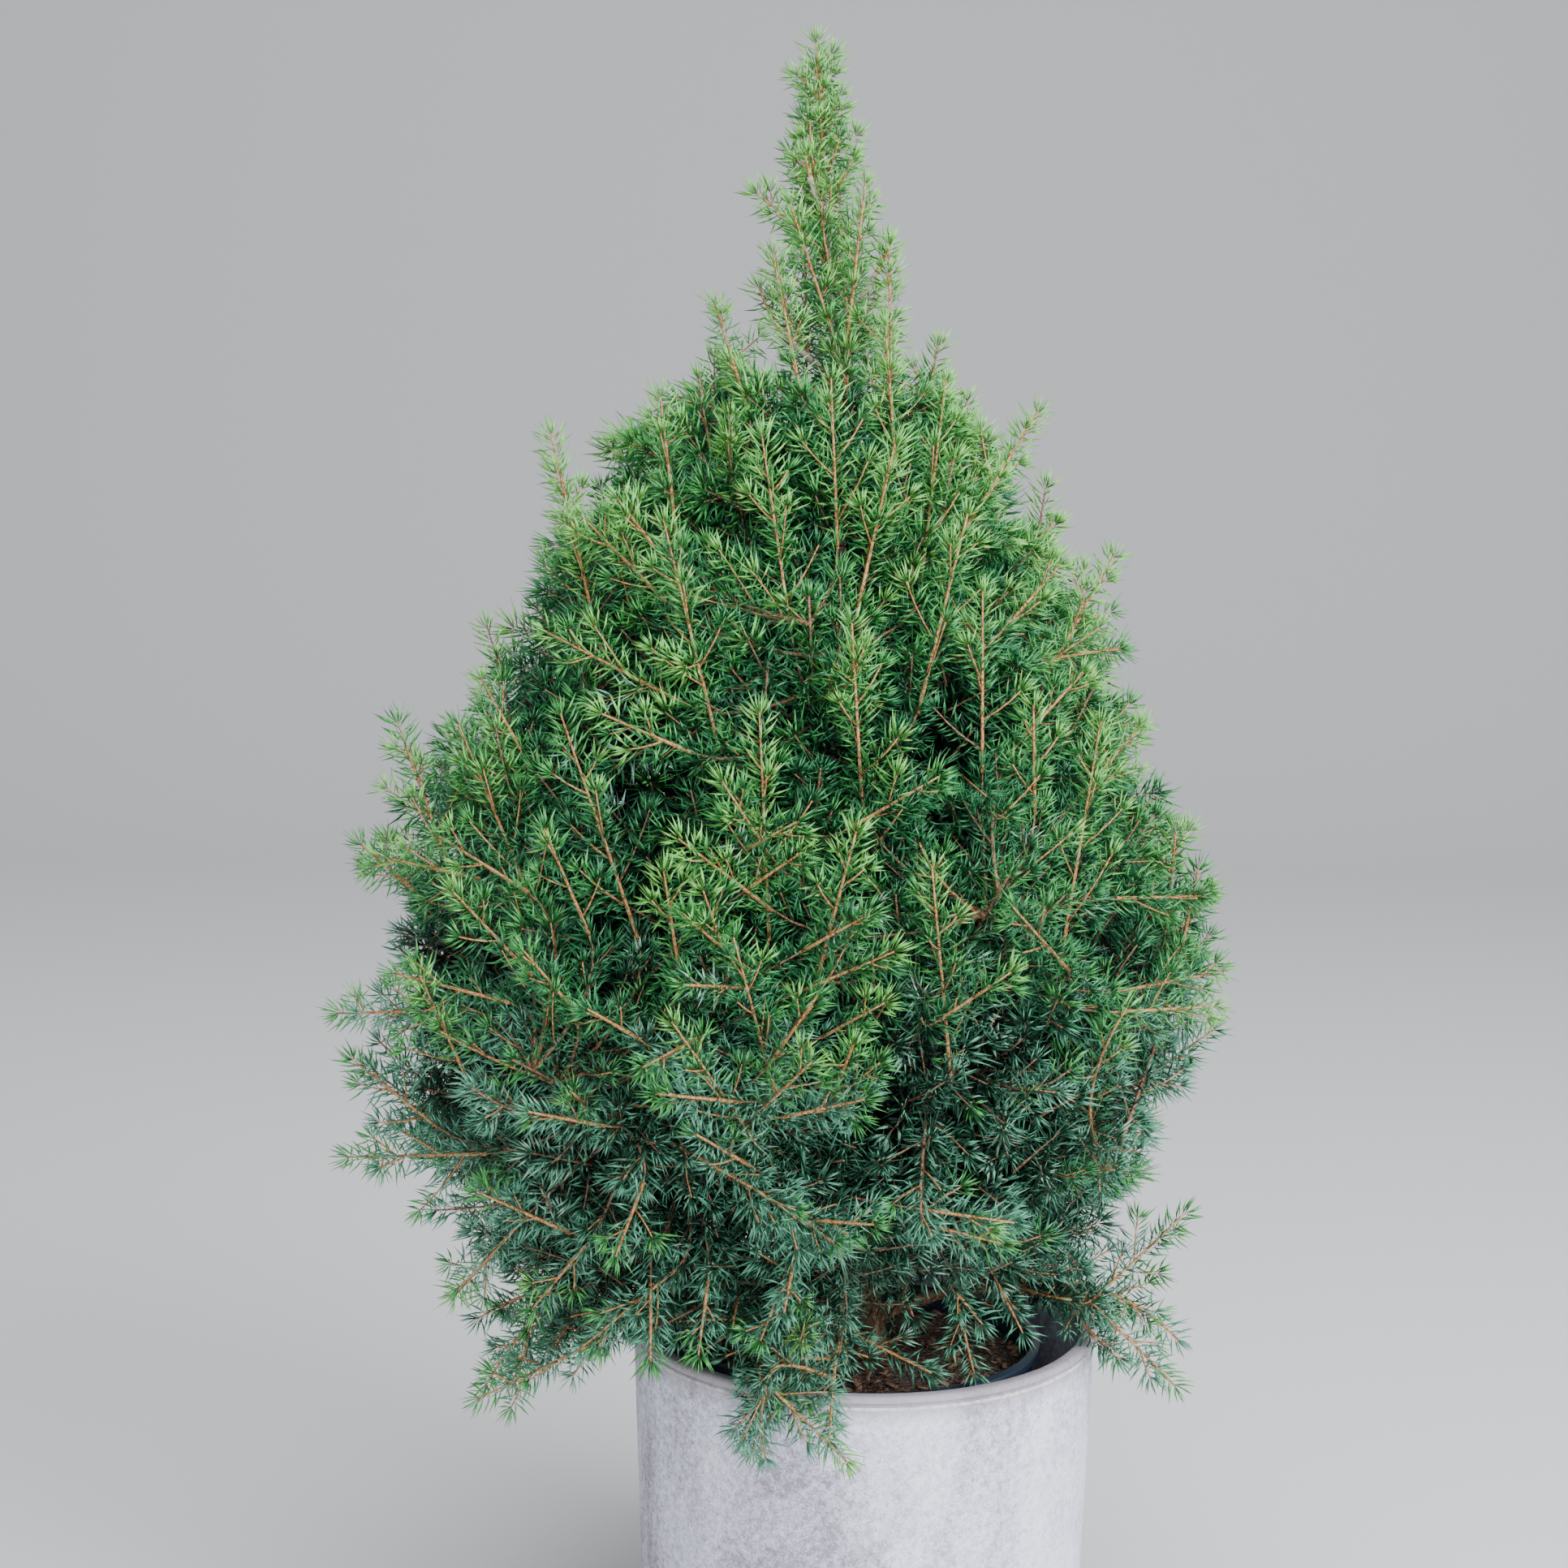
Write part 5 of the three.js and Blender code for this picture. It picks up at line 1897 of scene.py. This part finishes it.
@dataclass
class BarkLimbs:
    """The trunk and the boughs with their bark's relief, in mm."""

    rule: CrownRule
    trunk_rings: int = 220
    bough_rings: int = 46
    bough_share: float = 0.56
    upper_foot_r: float = 2.4
    sides: int = 5

    def build(self) -> bpy.types.Object:
        """Draws all limbs as one curve with a radius at each point, and turns it to a mesh with relief.

        Returns:
            The limbs.
        """
        deselect_all()
        bpy.ops.curve.primitive_bezier_curve_add(location=(0, 0, 0))
        limbs = bpy.context.object
        limbs.name = "trunk_and_boughs"
        limbs.data.splines.clear()
        limbs.data.dimensions = "3D"
        limbs.data.bevel_depth = 1.0
        limbs.data.bevel_resolution = self.sides
        limbs.data.use_fill_caps = True
        # The rings stand closer at the root flare
        rises = np.linspace(0, 1, self.trunk_rings) ** 1.15
        heights = self.rule.soil_top + (self.rule.trunk_top - self.rule.soil_top) * rises
        self.add_limb(limbs, np.array([self.rule.trunk_at(h) for h in heights]),
                      np.array([self.rule.trunk_radius(h) for h in heights]))
        shares = np.linspace(0, self.bough_share, self.bough_rings)
        for bough in self.rule.boughs[:-1]:
            slight = bough.kind.slight
            foot_r = self.upper_foot_r if slight else self.rule.bough_foot_r
            end_r = LIMB_END_SLIGHT_R if slight else LIMB_END_R
            self.add_limb(limbs, bough.line.at(shares), lerp(foot_r, end_r, shares / self.bough_share))
        bpy.ops.object.convert(target="MESH")
        limbs = bpy.context.object
        bpy.ops.object.mode_set(mode="EDIT")
        bpy.ops.mesh.select_all(action="SELECT")
        bpy.ops.mesh.remove_doubles(threshold=0.01 * MM)
        bpy.ops.mesh.normals_make_consistent(inside=False)
        bpy.ops.object.mode_set(mode="OBJECT")
        # Ridges, then flakes
        add_relief(limbs, 4.5, 1.1)
        add_relief(limbs, 1.8, 0.5)
        smooth(limbs, 50)
        return limbs

    @staticmethod
    def dress(limbs: bpy.types.Object) -> None:
        """Gives the limbs their bark, in the place of the CAD model's trunk and boughs."""
        limb_nodes = [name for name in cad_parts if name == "trunk" or name.startswith("bough_")]
        clad(limbs, SpruceBark().build(), "bark", *limb_nodes)

    @staticmethod
    def add_limb(limbs: bpy.types.Object, line: np.ndarray, radii: np.ndarray) -> None:
        """Adds one limb to the curve.

        Args:
            limbs: the curve's object.
            line: the limb's points in mm.
            radii: the limb's radius at each point in mm.
        """
        spline = limbs.data.splines.new("POLY")
        spline.points.add(len(line) - 1)
        spline.points.foreach_set("co", np.concatenate([line * MM, np.ones((len(line), 1))], axis=1).ravel())
        spline.points.foreach_set("radius", np.asarray(radii) * MM)


@dataclass
class Studio:
    """A pale floor with a sweep, soft lights, and the camera at the photograph's angle, in metres."""

    camera_at: tuple = (-0.050, -1.46, 0.70)
    camera_turn: tuple = (82.7, -0.6, 0.0)
    lens_mm: float = 61.5
    sensor_mm: float = 36
    lamps: tuple = (("key", (1.8, -1.7, 2.1), 1.5, 116), ("fill", (0.3, -2.5, 0.7), 2.0, 56),
                    ("top", (0.0, -0.3, 3.0), 2.0, 66))
    lamp_colour: tuple = (0.93, 0.965, 1.0)
    lit_height: float = 0.45
    sky: str = "#e6eaee"
    sky_strength: float = 0.6
    floor_side: float = 9
    sweep_height: float = 5
    sweep_round: float = 1.6

    def build(self) -> None:
        """Builds the floor, lights and camera."""
        self.floor()
        for lamp in self.lamps:
            self.light(*lamp)
        world = bpy.data.worlds.new("studio")
        world.use_nodes = True
        world.node_tree.nodes["Background"].inputs["Color"].default_value = linear(self.sky)
        world.node_tree.nodes["Background"].inputs["Strength"].default_value = self.sky_strength
        bpy.context.scene.world = world
        camera = bpy.data.objects.new("camera", bpy.data.cameras.new("camera"))
        camera.data.sensor_width = self.sensor_mm
        camera.data.lens = self.lens_mm
        camera.location = self.camera_at
        camera.rotation_euler = [math.radians(a) for a in self.camera_turn]
        bpy.context.scene.collection.objects.link(camera)
        bpy.context.scene.camera = camera

    def floor(self) -> None:
        """Builds the floor and draws its back edge up into a rounded sweep."""
        deselect_all()
        bpy.ops.mesh.primitive_plane_add(size=self.floor_side, location=(0, 0, 0))
        floor = bpy.context.object
        floor.name = "studio_floor"
        bpy.ops.object.mode_set(mode="EDIT")
        bpy.ops.mesh.select_all(action="DESELECT")
        bpy.ops.object.mode_set(mode="OBJECT")
        for edge in floor.data.edges:
            edge.select = all(floor.data.vertices[v].co.y > 4 for v in edge.vertices)
        bpy.ops.object.mode_set(mode="EDIT")
        bpy.ops.mesh.select_mode(type="EDGE")
        bpy.ops.mesh.extrude_region_move(TRANSFORM_OT_translate={"value": (0, 0, self.sweep_height)})
        bpy.ops.object.mode_set(mode="OBJECT")
        bend = floor.modifiers.new("sweep", "BEVEL")
        bend.width = self.sweep_round
        bend.segments = 16
        bpy.ops.object.modifier_apply(modifier="sweep")
        floor.data.materials.append(PaleFloor().build())
        smooth(floor, 40)

    def light(self, name: str, place: tuple, size: float, power: float) -> None:
        """Adds a soft square light that faces the plant.

        Args:
            name: the light's name.
            place: where it hangs.
            size: its side in metres.
            power: its power in watts.
        """
        lamp = bpy.data.objects.new(name, bpy.data.lights.new(name, "AREA"))
        lamp.data.size = size
        lamp.data.energy = power
        lamp.data.color = self.lamp_colour
        lamp.location = place
        aim = Vector((0, 0, self.lit_height)) - lamp.location
        lamp.rotation_euler = aim.to_track_quat("-Z", "Y").to_euler()
        bpy.context.scene.collection.objects.link(lamp)


def main() -> None:
    """Builds the pot, the limbs, the crown and the studio, and reports each piece."""
    logging.basicConfig(level=logging.INFO, format="%(name)s: %(message)s")
    clay = LimewashedClay().build()
    for thrown in (ClayPot(), Saucer()):
        thrown.dress(thrown.build(), clay)
    nursery = NurseryPot()
    nursery.dress(nursery.build())
    soil = PottingSoil()
    soil.dress(soil.build())
    soil.dress_litter(*soil.build_litter())
    rule = CrownRule()
    limbs = BarkLimbs(rule)
    limbs.dress(limbs.build())
    crown = Crown(rule)
    long, short = crown.grow()
    crown.dress_twigs(crown.build_twigs(long, short))
    crown.dress_needles(crown.build_needles([long, short]))
    Studio().build()


if __name__ == "__main__":
    main()
